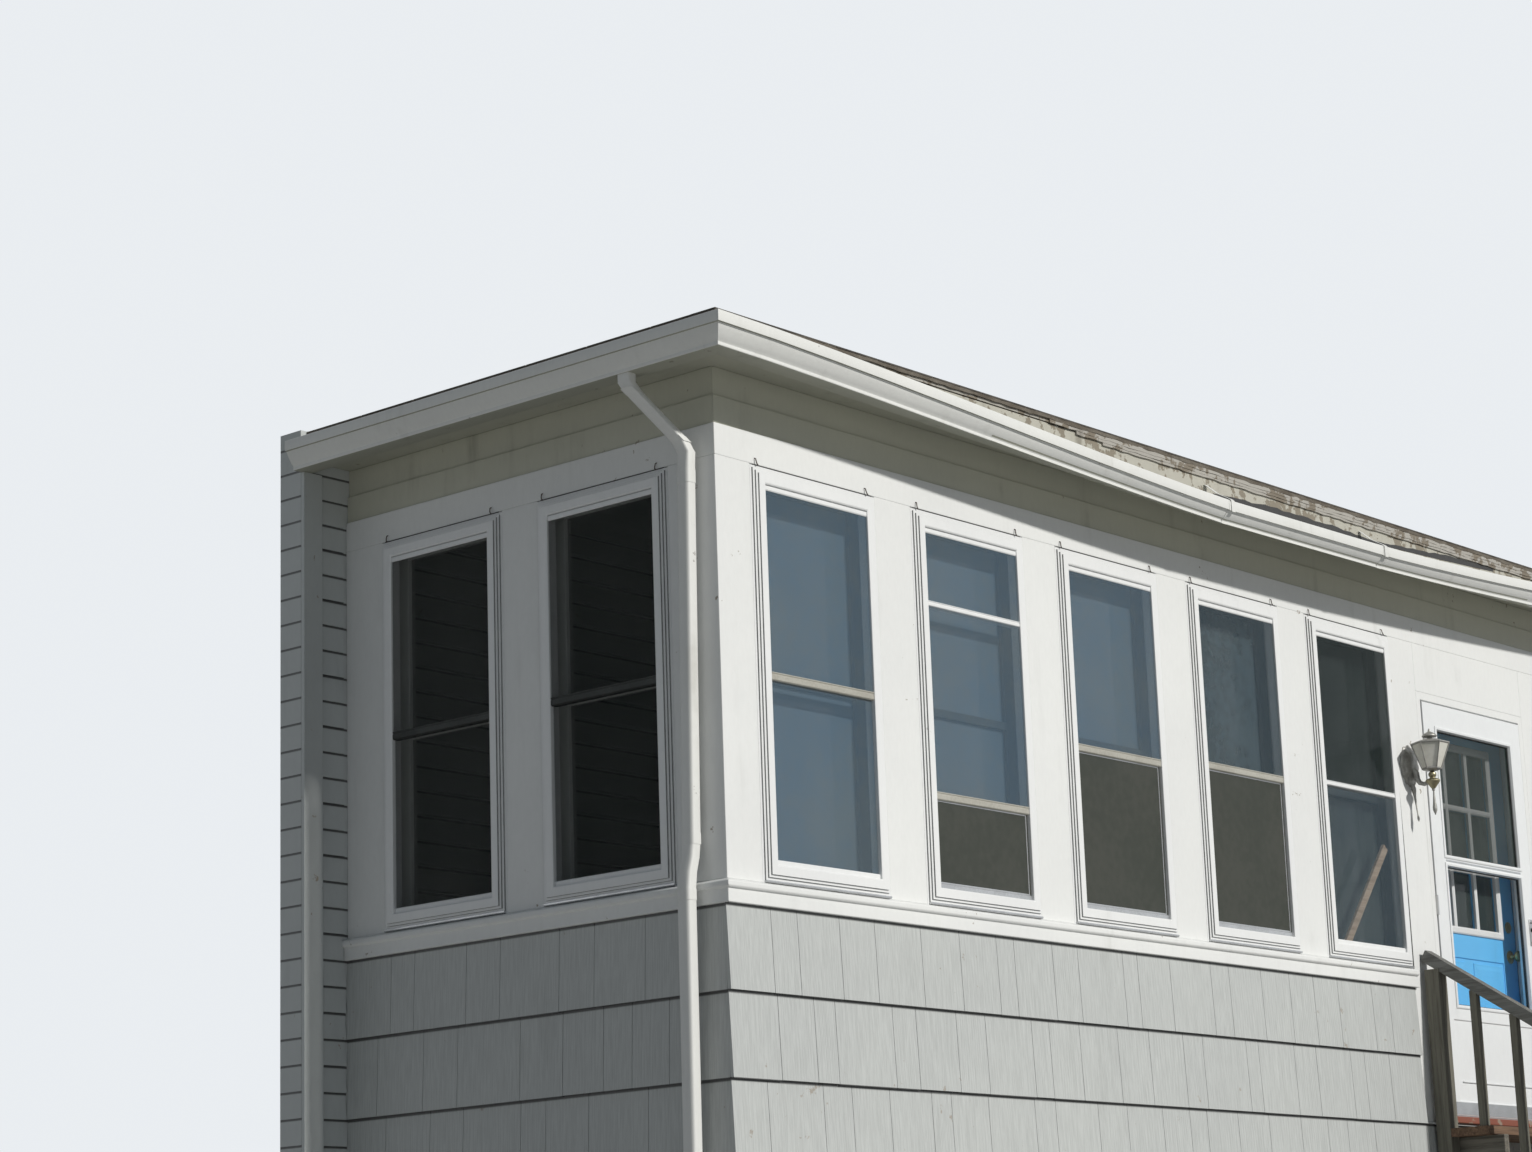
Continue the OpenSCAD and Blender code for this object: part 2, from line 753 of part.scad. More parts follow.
module porch_light_glass() {
    color("beige") on_front() translate([door_x - light_x, -light_out, apron_z + lamp_z])
        rotate_extrude() polygon([[0, dish_top], [34, dish_top], [67, cap_z], [0, cap_z]]);
}

module ceiling() {
    color("lightgray") translate([LEFT + wall_t, FRONT + wall_t, soffit_z - ceiling_drop])
        cube([porch_l - 2 * wall_t, porch_d - wall_t - clapboard_out, board_t]);
}

// Boards that run round the left, front and right eaves, from one distance out to another
module eave_ring(out_0, out_1, z0, h) {
    translate([0, 0, z0]) linear_extrude(height = h) polygon([
        [LEFT - out_1, -house_wall_t], [LEFT - out_1, FRONT - out_1],
        [-LEFT + out_1, FRONT - out_1], [-LEFT + out_1, -house_wall_t],
        [-LEFT + out_0, -house_wall_t], [-LEFT + out_0, FRONT - out_0],
        [LEFT - out_0, FRONT - out_0], [LEFT - out_0, -house_wall_t]]);
}

module soffit() {
    color("lightgray") eave_ring(-wall_t, eave - board_t, soffit_z, board_t);
}

module fascia_boards() {
    color("ivory") eave_ring(eave - board_t, eave, soffit_z - board_t, fascia_h);
}

// The hipped roof: one face over each eave, up to a level line on the house wall
module roof() {
    run_in = porch_d + roof_out;
    xl = LEFT - roof_out;
    yf = FRONT - roof_out;
    yb = -house_wall_t;
    top = [[xl, yf, eave_roof_z], [-xl, yf, eave_roof_z], [-xl, yb, eave_roof_z],
        [xl, yb, eave_roof_z], [xl + run_in, yb, eave_roof_z + roof_slope * run_in],
        [-xl - run_in, yb, eave_roof_z + roof_slope * run_in]];
    under = [for (p = top) p - [0, 0, roof_t]];
    color("dimgray") polyhedron(points = concat(top, under), faces = [
        [1, 0, 4, 5], [0, 3, 4], [2, 1, 5],
        [6, 7, 11, 10], [9, 6, 10], [7, 8, 11],
        [0, 1, 7, 6], [1, 2, 8, 7], [3, 0, 6, 9],
        [4, 3, 9, 10], [5, 4, 10, 11], [2, 5, 11, 8]]);
}

// The gutter's outline from its back rim, down and out round the ogee front to its front rim
ogee_steps = 6;
function gutter_skin(t) = concat([[t, 0], [t, -gutter_h + t], [gutter_foot - t, -gutter_h + t]],
    [for (i = [0:ogee_steps]) [gutter_foot - t + (gutter_w - gutter_foot)
        * (1 - cos(180 * i / ogee_steps)) / 2,
        -gutter_h + gutter_ogee_z * (1 + i / ogee_steps)]], [[gutter_w - t, 0]]);
function reversed(list) = [for (i = [len(list) - 1:-1:0]) list[i]];
gutter_foot = gutter_w * 0.66;
gutter_ogee_z = gutter_h * 0.36;
gutter_outline = concat(gutter_skin(0), reversed(gutter_skin(gutter_t)));

// A gutter along x, its back on y = 0. Each station is [x, back rim height, mitre, sink],
// where mitre is how far the end leans along x, and sink how far it falls, for each unit out
// from the back
module gutter(stations) {
    n = len(gutter_outline);
    last = len(stations) - 1;
    polyhedron(points = [for (s = stations) for (p = gutter_outline)
            [s[0] + s[2] * p[0], -p[0], s[1] + p[1] - s[3] * p[0]]],
        faces = concat([[for (k = [n - 1:-1:0]) k]],
            [for (i = [0:last - 1]) for (k = [0:n - 1]) [i * n + k, i * n + (k + 1) % n,
                (i + 1) * n + (k + 1) % n, (i + 1) * n + k]],
            [[for (k = [0:n - 1]) last * n + k]]));
}

module front_gutter() {
    mid_z = rim_z - gutter_sag;
    sink = gutter_sink / gutter_w;
    color("white") translate([LEFT, FRONT - eave, 0]) gutter([[-eave, rim_z, -1, 0],
        [joint_1_x, mid_z, 0, sink], [joint_2_x, mid_z + joint_rise, 0, sink],
        [porch_l + eave, rim_z, 1, 0]]);
}

module side_gutter() {
    mitred(porch_d, 0, 1) run([for (p = gutter_outline) [-eave - p[0], rim_z + p[1]]],
        0, porch_d + cut_reach);
}

module left_gutter() {
    color("white") on_left() side_gutter();
}

module right_gutter() {
    color("white") on_right() side_gutter();
}

// The downspout's path on the left wall: out from the wall, back from the corner, height
outlet_z = rim_z - gutter_h;
spout_path = [[eave + 55, 190, outlet_z], [eave + 55, 190, outlet_z - 40],
    [spout_d / 2 + 18, 95, casing_top_z - 85], [spout_d / 2 + 18, 100, casing_top_z - 165],
    [spout_d / 2 + 18, 125, apron_z + 190], [sill_out + spout_d / 2 + 10, 130, apron_z + 90],
    [sill_out + spout_d / 2 + 10, 140, 210], [sill_out + spout_d / 2 + 30, 145, 140],
    [sill_out + spout_d / 2 + 110, 150, 50]];

module downspout() {
    rings = len(spout_path);
    corners = [[-1, -1], [1, -1], [1, 1], [-1, 1]];
    color("white") polyhedron(
        points = [for (p = spout_path) for (c = corners)
            [LEFT - p[0] + c[0] * spout_d / 2, FRONT + p[1] + c[1] * spout_w / 2, p[2]]],
        faces = concat([[0, 1, 2, 3]], [for (i = [0:rings - 2]) for (k = [0:3])
            [i * 4 + k, (i + 1) * 4 + k, (i + 1) * 4 + (k + 1) % 4, i * 4 + (k + 1) % 4]],
            [[for (k = [3:-1:0]) (rings - 1) * 4 + k]]));
}

// Where the stair's treads start and their heights, counted down from the door
function tread_z(i) = tread_1_z - i * rise_per_tread;
function tread_back(i) = butt_out + 4 + i * tread_run;

// One notched stringer, cut to carry the treads
module stringer() {
    back = butt_out + 4;
    teeth = [for (i = [0:treads - 1]) each
        [[tread_back(i), tread_z(i) - tread_t], [tread_back(i) + tread_run, tread_z(i) - tread_t]]];
    rotate([90, 0, -90]) linear_extrude(height = stringer_t) polygon(concat(
        [[back, tread_z(0) - tread_t - stringer_h]], teeth,
        [[tread_back(treads), 0], [tread_back(treads) - stringer_h, 0]]));
}

module stair_stringers() {
    color("tan") on_front() for (x = [stair_x - stair_half_w + post_w + 46,
        stair_x + stair_half_w - post_w - 6])
        translate([x, 0, 0]) stringer();
}

module stair_treads() {
    color("tan") on_front() for (i = [0:treads - 1]) difference() {
        translate([stair_x - stair_half_w, -tread_back(i) - tread_d, tread_z(i) - tread_t])
            cube([2 * stair_half_w, tread_d, tread_t]);
        if (i == 0) for (x = [stair_x - stair_half_w - 1, stair_x + stair_half_w - post_w])
            translate([x, -tread_back(0) - post_w, tread_z(0) - tread_t - 1])
                cube([post_w + 1, post_w + 1, tread_t + 2]);
    }
}

// Height of the handrail's top at a distance out from the front wall
function handrail_z(out) = tread_1_z + rail_above
    - (out - tread_back(0)) * rise_per_tread / tread_run;
last_post_out = tread_back(treads - 1) + tread_d + post_w / 2;

// A railing: a post at the wall, one at the foot, balusters between and a handrail over all
module railing() {
    first_out = tread_back(0) + post_w / 2;
    count = floor((last_post_out - first_out - 60) / baluster_step);
    lean = atan(rise_per_tread / tread_run);
    slack = 4;
    for (out = [first_out, last_post_out])
        translate([0, -out - post_w / 2, 0])
            cube([post_w, post_w, handrail_z(out + post_w / 2) - handrail_h + slack]);
    for (i = [1:count]) {
        out = first_out + i * baluster_step;
        step = min(treads - 1, floor((out - tread_back(0)) / tread_run));
        translate([post_w / 2 - baluster_w / 2, -out - baluster_w / 2, tread_z(step)])
            cube([baluster_w, baluster_w,
                handrail_z(out + baluster_w / 2) - handrail_h + slack - tread_z(step)]);
    }
    translate([post_w / 2 - handrail_w / 2, -butt_out - 2, handrail_z(butt_out + 2)])
        rotate([lean, 0, 0]) translate([0, -(last_post_out + post_w) / cos(lean), -handrail_h])
            cube([handrail_w, (last_post_out + post_w) / cos(lean) - 12, handrail_h]);
}

module left_railing() {
    color("gray") on_front() translate([stair_x - stair_half_w, 0, 0]) railing();
}

module right_railing() {
    color("gray") on_front() translate([stair_x + stair_half_w - post_w, 0, 0]) railing();
}

foundation_front();
foundation_left();
foundation_right();
lower_wall_front();
lower_wall_door();
lower_wall_far();
lower_wall_left();
lower_wall_right();
house_wall();
house_corner_boards();
porch_floor();
corner_posts();
door_posts();
front_mullions();
side_mullions();
front_sill();
far_sill();
left_sill();
right_sill();
front_frieze();
left_frieze();
right_frieze();
door_header();
front_storm_frames();
side_storm_frames();
storm_glass();
window_screens();
window_sashes();
sash_glass();
door_frame();
threshold();
storm_door_hinges();
entry_door_hinges();
storm_door();
storm_door_glass();
storm_door_handle();
entry_door();
entry_door_glass();
entry_door_knob();
porch_light();
porch_light_glass();
ceiling();
soffit();
fascia_boards();
roof();
front_gutter();
left_gutter();
right_gutter();
downspout();
stair_stringers();
stair_treads();
left_railing();
right_railing();
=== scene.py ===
# %% [markdown]
# # An enclosed window porch
# The real object is a glazed sun porch on the front of a house: storm windows between white
# posts, a shingled lower wall, sagging gutters, two door leaves, a lantern and a wooden stair.
# The solids of every piece come from the frame. This lesson dresses them: it gives each one
# its finish, and adds what is too fine for the solids. Everything is in metres, with +X along
# the front, +Y into the house and +Z up.

# %% Load the frame
import json
import math
import random

import bmesh
import bpy
from mathutils import Matrix, Vector


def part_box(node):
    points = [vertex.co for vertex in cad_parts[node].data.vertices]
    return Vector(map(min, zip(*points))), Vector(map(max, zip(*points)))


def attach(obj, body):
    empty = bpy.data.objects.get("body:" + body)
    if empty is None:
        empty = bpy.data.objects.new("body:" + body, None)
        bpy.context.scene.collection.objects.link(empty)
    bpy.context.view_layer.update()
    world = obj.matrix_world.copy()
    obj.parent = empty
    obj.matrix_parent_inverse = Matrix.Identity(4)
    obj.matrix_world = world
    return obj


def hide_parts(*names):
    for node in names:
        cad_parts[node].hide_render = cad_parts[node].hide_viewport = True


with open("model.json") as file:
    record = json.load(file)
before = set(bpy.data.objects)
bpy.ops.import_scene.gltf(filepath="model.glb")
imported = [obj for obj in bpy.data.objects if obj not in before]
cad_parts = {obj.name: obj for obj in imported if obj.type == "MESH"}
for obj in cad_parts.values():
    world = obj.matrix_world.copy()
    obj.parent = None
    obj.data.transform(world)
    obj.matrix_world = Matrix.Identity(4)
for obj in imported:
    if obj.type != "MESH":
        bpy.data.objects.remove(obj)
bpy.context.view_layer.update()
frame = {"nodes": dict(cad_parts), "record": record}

# %% [markdown]
# ## Where things are
# Three walls carry the same kinds of pieces, so each wall gets its own flat coordinates:
# x along the wall, depth inwards from its face, and z up. One small function a wall turns
# them into places. Drawing every wall the same way is simpler than turning finished pieces.

# %% The walls' coordinates
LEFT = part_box("corner_posts")[0][0]
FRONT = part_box("corner_posts")[0][1]
HOUSE = -0.12
APRON_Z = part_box("front_sill")[0][2]
WIN_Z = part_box("front_storm_frames")[0][2]
WIN_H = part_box("front_storm_frames")[1][2] - WIN_Z
SOFFIT_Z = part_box("soffit")[0][2]
FLOOR_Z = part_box("porch_floor")[1][2]
SPAN, SIDE_L = -2 * LEFT, 1.945
FRONT_W, SIDE_W = 0.710, 0.660
FIRST_X, PITCH, FAR_X = 0.188, 0.926, 6.024
FRONT_XS = [FIRST_X + PITCH * i for i in range(5)] + [FAR_X]
SIDE_XS = [0.208, 1.055]
DOOR_X = 4.818
JAMB_W, LEAF_W = 0.043, 0.904
LEAF_X, LEAF_Z = DOOR_X + JAMB_W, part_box("storm_door")[0][2]


def on_front(x, depth, z):
    return Vector((LEFT + x, FRONT + depth, z))


def on_left(x, depth, z):
    return Vector((LEFT + depth, HOUSE - x, z))


def on_right(x, depth, z):
    return Vector((-LEFT - depth, HOUSE - x, z))


WINDOWS = [(on_front, x, FRONT_W) for x in FRONT_XS]
WINDOWS += [(put, x, SIDE_W) for put in (on_left, on_right) for x in SIDE_XS]
print("front face", round(FRONT, 3), "left corner", round(LEFT, 3), "floor", round(FLOOR_Z, 3))

# %% [markdown]
# ## The camera
# The photograph looks up at the porch's corner from below. The camera was solved from the
# window corners: a long lens about nine metres away, turned 49 degrees and raised 13. It comes
# first, so that every later test picture is taken from the right place.

# %% Make the camera
FOCAL_PX, FRAME_W, SENSOR = 3359.5, 1532, 36
FROM_CORNER = Vector((-8.639, -7.636, -1.609))
yaw, pitch, roll = math.radians(49.364), math.radians(13.467), math.radians(1.946)
forward = Vector((math.sin(yaw) * math.cos(pitch), math.cos(yaw) * math.cos(pitch),
                  math.sin(pitch)))
level_right = Vector((math.cos(yaw), -math.sin(yaw), 0))
level_down = forward.cross(level_right)
right = math.cos(roll) * level_right + math.sin(roll) * level_down
down = -math.sin(roll) * level_right + math.cos(roll) * level_down
camera_data = bpy.data.cameras.new("camera")
camera_data.sensor_width = SENSOR
camera_data.lens = FOCAL_PX / FRAME_W * SENSOR
camera_data.clip_end = 200
camera = bpy.data.objects.new("camera", camera_data)
turn = Matrix((right, -down, -forward)).transposed().to_4x4()
place = Vector((LEFT, FRONT, APRON_Z)) + FROM_CORNER
camera.matrix_world = Matrix.Translation(place) @ turn
bpy.context.scene.collection.objects.link(camera)
bpy.context.scene.camera = camera
print("camera at", [round(v, 2) for v in place], "lens", round(camera_data.lens, 1))

# %% [markdown]
# ## Floor, sky and light
# A pale floor keeps the object's shadow. The stage is only for test pictures, and never
# becomes part of the model.

# %% Make the floor
def shader(material, kind):
    return next(n for n in material.node_tree.nodes if n.type == kind)


def stage_floor(reach, color):
    mesh = bpy.data.meshes.new("stage_floor")
    mesh.from_pydata([(-reach, -reach, 0), (reach, -reach, 0), (reach, reach, 0),
                      (-reach, reach, 0)], [], [(0, 1, 2, 3)])
    floor = bpy.data.objects.new("stage_floor", mesh)
    pale = bpy.data.materials.new("stage_floor")
    pale.use_nodes = True
    shader(pale, "BSDF_PRINCIPLED").inputs["Base Color"].default_value = color
    shader(pale, "BSDF_PRINCIPLED").inputs["Roughness"].default_value = 0.9
    mesh.materials.append(pale)
    bpy.context.scene.collection.objects.link(floor)


stage_floor(reach=60, color=(0.52, 0.52, 0.51, 1))
print("the floor is laid")

# %% [markdown]
# The world is pale too, and has two strengths. Camera, glossy and transmission rays see a
# bright, even sky. All others get a faint blue one, so that the shaded side stays in shade.

# %% Make the sky
def stage_world(soft_sky, seen_sky):
    """Each sky is (colour, strength). Camera, glossy and transmission rays see the second."""
    world = bpy.data.worlds.new("studio")
    bpy.context.scene.world = world
    world.use_nodes = True
    tree = world.node_tree
    tree.nodes.clear()
    out = tree.nodes.new("ShaderNodeOutputWorld")
    mix = tree.nodes.new("ShaderNodeMixShader")
    for slot, (color, strength) in ((1, soft_sky), (2, seen_sky)):
        sky = tree.nodes.new("ShaderNodeBackground")
        sky.inputs["Color"].default_value = color
        sky.inputs["Strength"].default_value = strength
        tree.links.new(sky.outputs[0], mix.inputs[slot])
    path = tree.nodes.new("ShaderNodeLightPath")
    sees = path.outputs["Is Camera Ray"]
    for ray in ("Is Glossy Ray", "Is Transmission Ray"):
        either = tree.nodes.new("ShaderNodeMath")
        either.operation = "ADD"
        either.use_clamp = True
        tree.links.new(sees, either.inputs[0])
        tree.links.new(path.outputs[ray], either.inputs[1])
        sees = either.outputs[0]
    tree.links.new(sees, mix.inputs["Fac"])
    tree.links.new(mix.outputs[0], out.inputs["Surface"])


stage_world(soft_sky=((0.70, 0.84, 1.0, 1), 0.135), seen_sky=((0.82, 0.85, 0.88, 1), 1.0))
print("world", bpy.context.scene.world.name)

# %% [markdown]
# One broad, soft lamp stands where the sun stood: low, and square to the front but for a few
# degrees. It lights the front, grazes the downspout and leaves the left side in quiet shade.

# %% Make the sun
def soft_sun(name, towards, strength, spread, color):
    data = bpy.data.lights.new(name, "SUN")
    data.energy, data.angle, data.color = strength, math.radians(spread), color
    lamp = bpy.data.objects.new(name, data)
    lamp.rotation_mode = "QUATERNION"
    lamp.rotation_quaternion = Vector(towards).to_track_quat("Z", "Y")
    bpy.context.scene.collection.objects.link(lamp)


soft_sun("key", towards=(0.098, -1.0, 0.565), strength=2.95, spread=2.5,
         color=(1.0, 0.975, 0.93))
bpy.context.scene.view_settings.view_transform = "Standard"
print("colours go to the picture as", bpy.context.scene.view_settings.view_transform)

# %% [markdown]
# ## Shader groups
# Paint on this porch is old: it has chalked, streaked below the eaves, and flaked off where
# water sits. Several materials share that, so the effect is one node group with its own
# colours and amounts. A group hands out only a colour, a roughness and a height. The shader
# that uses them stays in each material.

# %% A small helper for node trees
def wire(tree, kind, links=None, **settings):
    """Adds a node, sets its properties, and links or fills its inputs."""
    node = tree.nodes.new(kind)
    for key, value in settings.items():
        setattr(node, key, value)
    for key, value in (links or {}).items():
        if isinstance(value, bpy.types.NodeSocket):
            tree.links.new(value, node.inputs[key])
        else:
            node.inputs[key].default_value = value
    return node


def group_tree(name, inputs, outputs, kind="ShaderNodeTree"):
    tree = bpy.data.node_groups.new(name, kind)
    for label, socket, value in inputs:
        item = tree.interface.new_socket(label, in_out="INPUT", socket_type=socket)
        if value is not None:
            item.default_value = value
    for label, socket in outputs:
        tree.interface.new_socket(label, in_out="OUTPUT", socket_type=socket)
    return tree, tree.nodes.new("NodeGroupInput").outputs, tree.nodes.new("NodeGroupOutput")


print("a helper for nodes, and one for groups")

# %% [markdown]
# The groups below are sums of a few plain steps: multiply, add, ramp, stretch, noise, blend.
# Each step is one short function that adds its node and hands back the socket to go on from,
# so that a group reads like arithmetic.

# %% Steps that the groups are made of
COLOR, FLOAT, VECTOR = "NodeSocketColor", "NodeSocketFloat", "NodeSocketVector"


def math_node(tree, operation, a, b, clamp=False):
    return wire(tree, "ShaderNodeMath", {0: a, 1: b}, operation=operation,
                use_clamp=clamp).outputs[0]


def times(tree, a, b, clamp=False):
    return math_node(tree, "MULTIPLY", a, b, clamp)


def plus(tree, a, b, clamp=False):
    return math_node(tree, "ADD", a, b, clamp)


def minus(tree, a, b):
    return math_node(tree, "SUBTRACT", a, b)


def ramp(tree, value, low, high, smooth=True):
    """0 below low, 1 above high."""
    return wire(tree, "ShaderNodeMapRange", {"Value": value, "From Min": low, "From Max": high},
                interpolation_type="SMOOTHSTEP" if smooth else "LINEAR").outputs["Result"]


def stretched(tree, vector, factors):
    return wire(tree, "ShaderNodeVectorMath", {0: vector, 1: factors},
                operation="MULTIPLY").outputs[0]


def noise(tree, vector, scale, detail, rough=0.55):
    return wire(tree, "ShaderNodeTexNoise", {"Vector": vector, "Scale": scale,
                "Detail": detail, "Roughness": rough}).outputs["Fac"]


def blend(tree, factor, a, b, mode="MIX"):
    """The colour sockets of a Mix node are its inputs 6 and 7 and its output 2."""
    return wire(tree, "ShaderNodeMix", {0: factor, 6: a, 7: b}, data_type="RGBA",
                blend_type=mode).outputs[2]


def hand_out(tree, out, results):
    """Links a group's results to its output node."""
    for label, value in results.items():
        tree.links.new(value, out.inputs[label])


def rgb(r, g, b):
    return (r, g, b, 1.0)


def grey(level):
    return rgb(level, level, level)


print("sockets in use", COLOR, FLOAT, VECTOR)

# %% [markdown]
# Old paint has four layers here. A slow cloud tints the coat, long upright runs and broad
# smears multiply into dirt, a sharp step in two noises is where paint has flaked to the wood,
# and a fine grain speckles all of it. The flakes also sink in the height.

# %% Old paint
def make_old_paint():
    tree, given, out = group_tree("old_paint", [
        ("Vector", VECTOR, None), ("Coat", COLOR, grey(0.8)), ("Bare", COLOR, grey(0.3)),
        ("Grime", COLOR, grey(0.2)), ("Flaking", FLOAT, 0.1), ("Streaks", FLOAT, 0.3),
        ("Fineness", FLOAT, 60.0)],
        [("Color", COLOR), ("Roughness", FLOAT), ("Height", FLOAT)])
    spot = given["Vector"]
    cloud = blend(tree, noise(tree, spot, 1.6, 5.0), rgb(0.90, 0.90, 0.91),
                  rgb(1.06, 1.06, 1.05))
    tone = blend(tree, 1.0, given["Coat"], cloud, "MULTIPLY")
    run = ramp(tree, noise(tree, stretched(tree, spot, (11, 11, 0.9)), 1.0, 5.0), 0.50, 0.78)
    smear = ramp(tree, noise(tree, spot, 3.1, 6.0), 0.42, 0.74)
    dirt = times(tree, times(tree, run, smear), given["Streaks"], clamp=True)
    dirty = blend(tree, dirt, tone, given["Grime"])
    edge = minus(tree, 0.92, times(tree, given["Flaking"], 0.42))
    field = plus(tree, noise(tree, spot, 17.0, 7.0, 0.62),
                 times(tree, noise(tree, spot, 2.2, 2.0), 0.35))
    flake = ramp(tree, field, edge, plus(tree, edge, 0.025), smooth=False)
    worn = blend(tree, flake, dirty, given["Bare"])
    grain = noise(tree, stretched(tree, spot, (1, 1, 0.4)), given["Fineness"], 3.0)
    speck = blend(tree, grain, grey(0.955), grey(1.03))
    rough = plus(tree, times(tree, dirt, 0.3), times(tree, flake, 0.35))
    hand_out(tree, out, {
        "Color": blend(tree, 1.0, worn, speck, "MULTIPLY"),
        "Roughness": plus(tree, 0.46, rough, clamp=True),
        "Height": minus(tree, times(tree, grain, 0.35), times(tree, flake, 0.65))})
    return tree


OLD_PAINT = make_old_paint()
print("group", OLD_PAINT.name)

# %% [markdown]
# Bare wood on the stair is grey-brown and open-grained, with knots. Noise that is stretched
# along the board makes the grain, and a few distorted rings make the knots.

# %% Bare timber
def make_timber():
    tree, given, out = group_tree("timber", [
        ("Vector", VECTOR, None), ("Pale", COLOR, rgb(0.4, 0.35, 0.3)),
        ("Dark", COLOR, rgb(0.15, 0.12, 0.1)), ("Grain", FLOAT, 1.0), ("Knots", FLOAT, 0.5)],
        [("Color", COLOR), ("Roughness", FLOAT), ("Height", FLOAT)])
    spot = given["Vector"]
    warp = noise(tree, spot, 2.5, 2.0)
    sway = wire(tree, "ShaderNodeCombineXYZ", {0: warp, 1: warp, 2: 0.0}).outputs[0]
    warped = wire(tree, "ShaderNodeVectorMath", {0: spot, 1: sway}, operation="ADD").outputs[0]
    lines = noise(tree, warped, times(tree, given["Grain"], 5.0), 9.0, 0.7)
    cells = wire(tree, "ShaderNodeTexVoronoi", {"Vector": spot, "Scale": 0.8, "Randomness": 1.0})
    knot = times(tree, ramp(tree, cells.outputs["Distance"], 0.13, 0.03), given["Knots"],
                 clamp=True)
    face = blend(tree, ramp(tree, lines, 0.32, 0.68), given["Dark"], given["Pale"])
    knotted = blend(tree, knot, face, given["Dark"])
    cloud = blend(tree, noise(tree, spot, 0.6, 3.0), rgb(0.8, 0.8, 0.82), rgb(1.15, 1.12, 1.08))
    hand_out(tree, out, {
        "Color": blend(tree, 1.0, knotted, cloud, "MULTIPLY"),
        "Roughness": plus(tree, 0.72, times(tree, lines, 0.2)),
        "Height": minus(tree, lines, times(tree, knot, 0.5))})
    return tree


TIMBER = make_timber()
print("group", TIMBER.name)

# %% [markdown]
# Concrete, roofing granules, dusty glass and worn metal all need a field of spots between two
# colours. One group does them all: what differs is its scale and its two colours.

# %% Mottled surfaces
def make_mottle():
    tree, given, out = group_tree("mottle", [
        ("Vector", VECTOR, None), ("First", COLOR, grey(0.5)), ("Second", COLOR, grey(0.3)),
        ("Coarse", FLOAT, 3.0), ("Fine", FLOAT, 120.0), ("Amount", FLOAT, 0.5)],
        [("Color", COLOR), ("Mask", FLOAT), ("Height", FLOAT)])
    coarse = noise(tree, given["Vector"], given["Coarse"], 6.0)
    fine = noise(tree, given["Vector"], given["Fine"], 2.0)
    both = plus(tree, times(tree, coarse, 0.6), times(tree, fine, 0.4))
    mask = times(tree, ramp(tree, both, 0.38, 0.64), given["Amount"], clamp=True)
    hand_out(tree, out, {"Color": blend(tree, mask, given["First"], given["Second"]),
                         "Mask": mask, "Height": fine})
    return tree


MOTTLE = make_mottle()
print("group", MOTTLE.name)

# %% [markdown]
# ## Materials
# Each material is a Principled shader with a group in front of it. All of them read Object
# coordinates: every finished piece keeps its object at the origin, so a pattern runs on
# smoothly from one board to the next and never swims.

# %% Material makers
MADE = {}


def start_material(name):
    material = bpy.data.materials.new(name)
    material.use_nodes = True
    MADE[name] = material
    tree = material.node_tree
    spot = wire(tree, "ShaderNodeTexCoord").outputs["Object"]
    return tree, spot, shader(material, "BSDF_PRINCIPLED")


def put_group(tree, group, values):
    return wire(tree, "ShaderNodeGroup", values, node_tree=group).outputs


def set_surface(tree, surface, **values):
    """Links patterns to the shader's own sockets, and sets plain numbers on them."""
    for label, value in values.items():
        socket = surface.inputs[label.replace("_", " ")]
        if isinstance(value, bpy.types.NodeSocket):
            tree.links.new(value, socket)
        else:
            socket.default_value = value


def raise_surface(tree, height, strength, distance, surface):
    bump = wire(tree, "ShaderNodeBump", {"Height": height, "Strength": strength,
                                         "Distance": distance})
    tree.links.new(bump.outputs["Normal"], surface.inputs["Normal"])


print("material helpers are ready")

# %% [markdown]
# Paint on shakes needs two things more. Upright combing comes from noise squeezed hard in x
# and y. The dark line under each course is painted shade under the butts: it comes from the
# height above the ground, divided by the spacing, and only the last bit of each fraction is
# darkened.

# %% Painted boards
PAINTED_COURSE_SHADE, COURSE_SHADE_STRENGTH, PAINT_DEPTH = grey(0.06), 0.92, 0.0015


def painted(name, coat, bare=(0.36, 0.32, 0.27), grime=(0.25, 0.25, 0.22), flaking=0.05,
            streaks=0.3, fineness=60.0, bump=0.25, sheen=0.35, comb=0.0, joint=None):
    """comb draws upright combing; joint is (first height, spacing, width) of the painted shade
    lines under the courses.
    """
    tree, spot, surface = start_material(name)
    got = put_group(tree, OLD_PAINT, {"Vector": spot, "Coat": rgb(*coat), "Bare": rgb(*bare),
                    "Grime": rgb(*grime), "Flaking": flaking, "Streaks": streaks,
                    "Fineness": fineness})
    colour, height = got["Color"], got["Height"]
    if comb:
        lines = noise(tree, stretched(tree, spot, (210, 210, 2.2)), 1.0, 3.0)
        shade = blend(tree, ramp(tree, lines, 0.34, 0.66), grey(1 - comb), grey(1))
        colour = blend(tree, 1.0, colour, shade, "MULTIPLY")
        height = plus(tree, height, lines)
    # Painted shade: a dark band just under each course's butt.
    if joint:
        first, spacing, width = joint
        level = wire(tree, "ShaderNodeSeparateXYZ", {0: spot}).outputs["Z"]
        courses = math_node(tree, "DIVIDE", minus(tree, level, first), spacing)
        part = math_node(tree, "FRACT", courses, 0.0)
        gap = ramp(tree, part, 1 - 1.3 * width / spacing, 1 - 0.7 * width / spacing)
        colour = blend(tree, times(tree, gap, COURSE_SHADE_STRENGTH), colour, PAINTED_COURSE_SHADE)
    set_surface(tree, surface, Base_Color=colour, Roughness=got["Roughness"],
                Specular_IOR_Level=sheen)
    raise_surface(tree, height, bump, PAINT_DEPTH, surface)


print("painted boards use", OLD_PAINT.name)
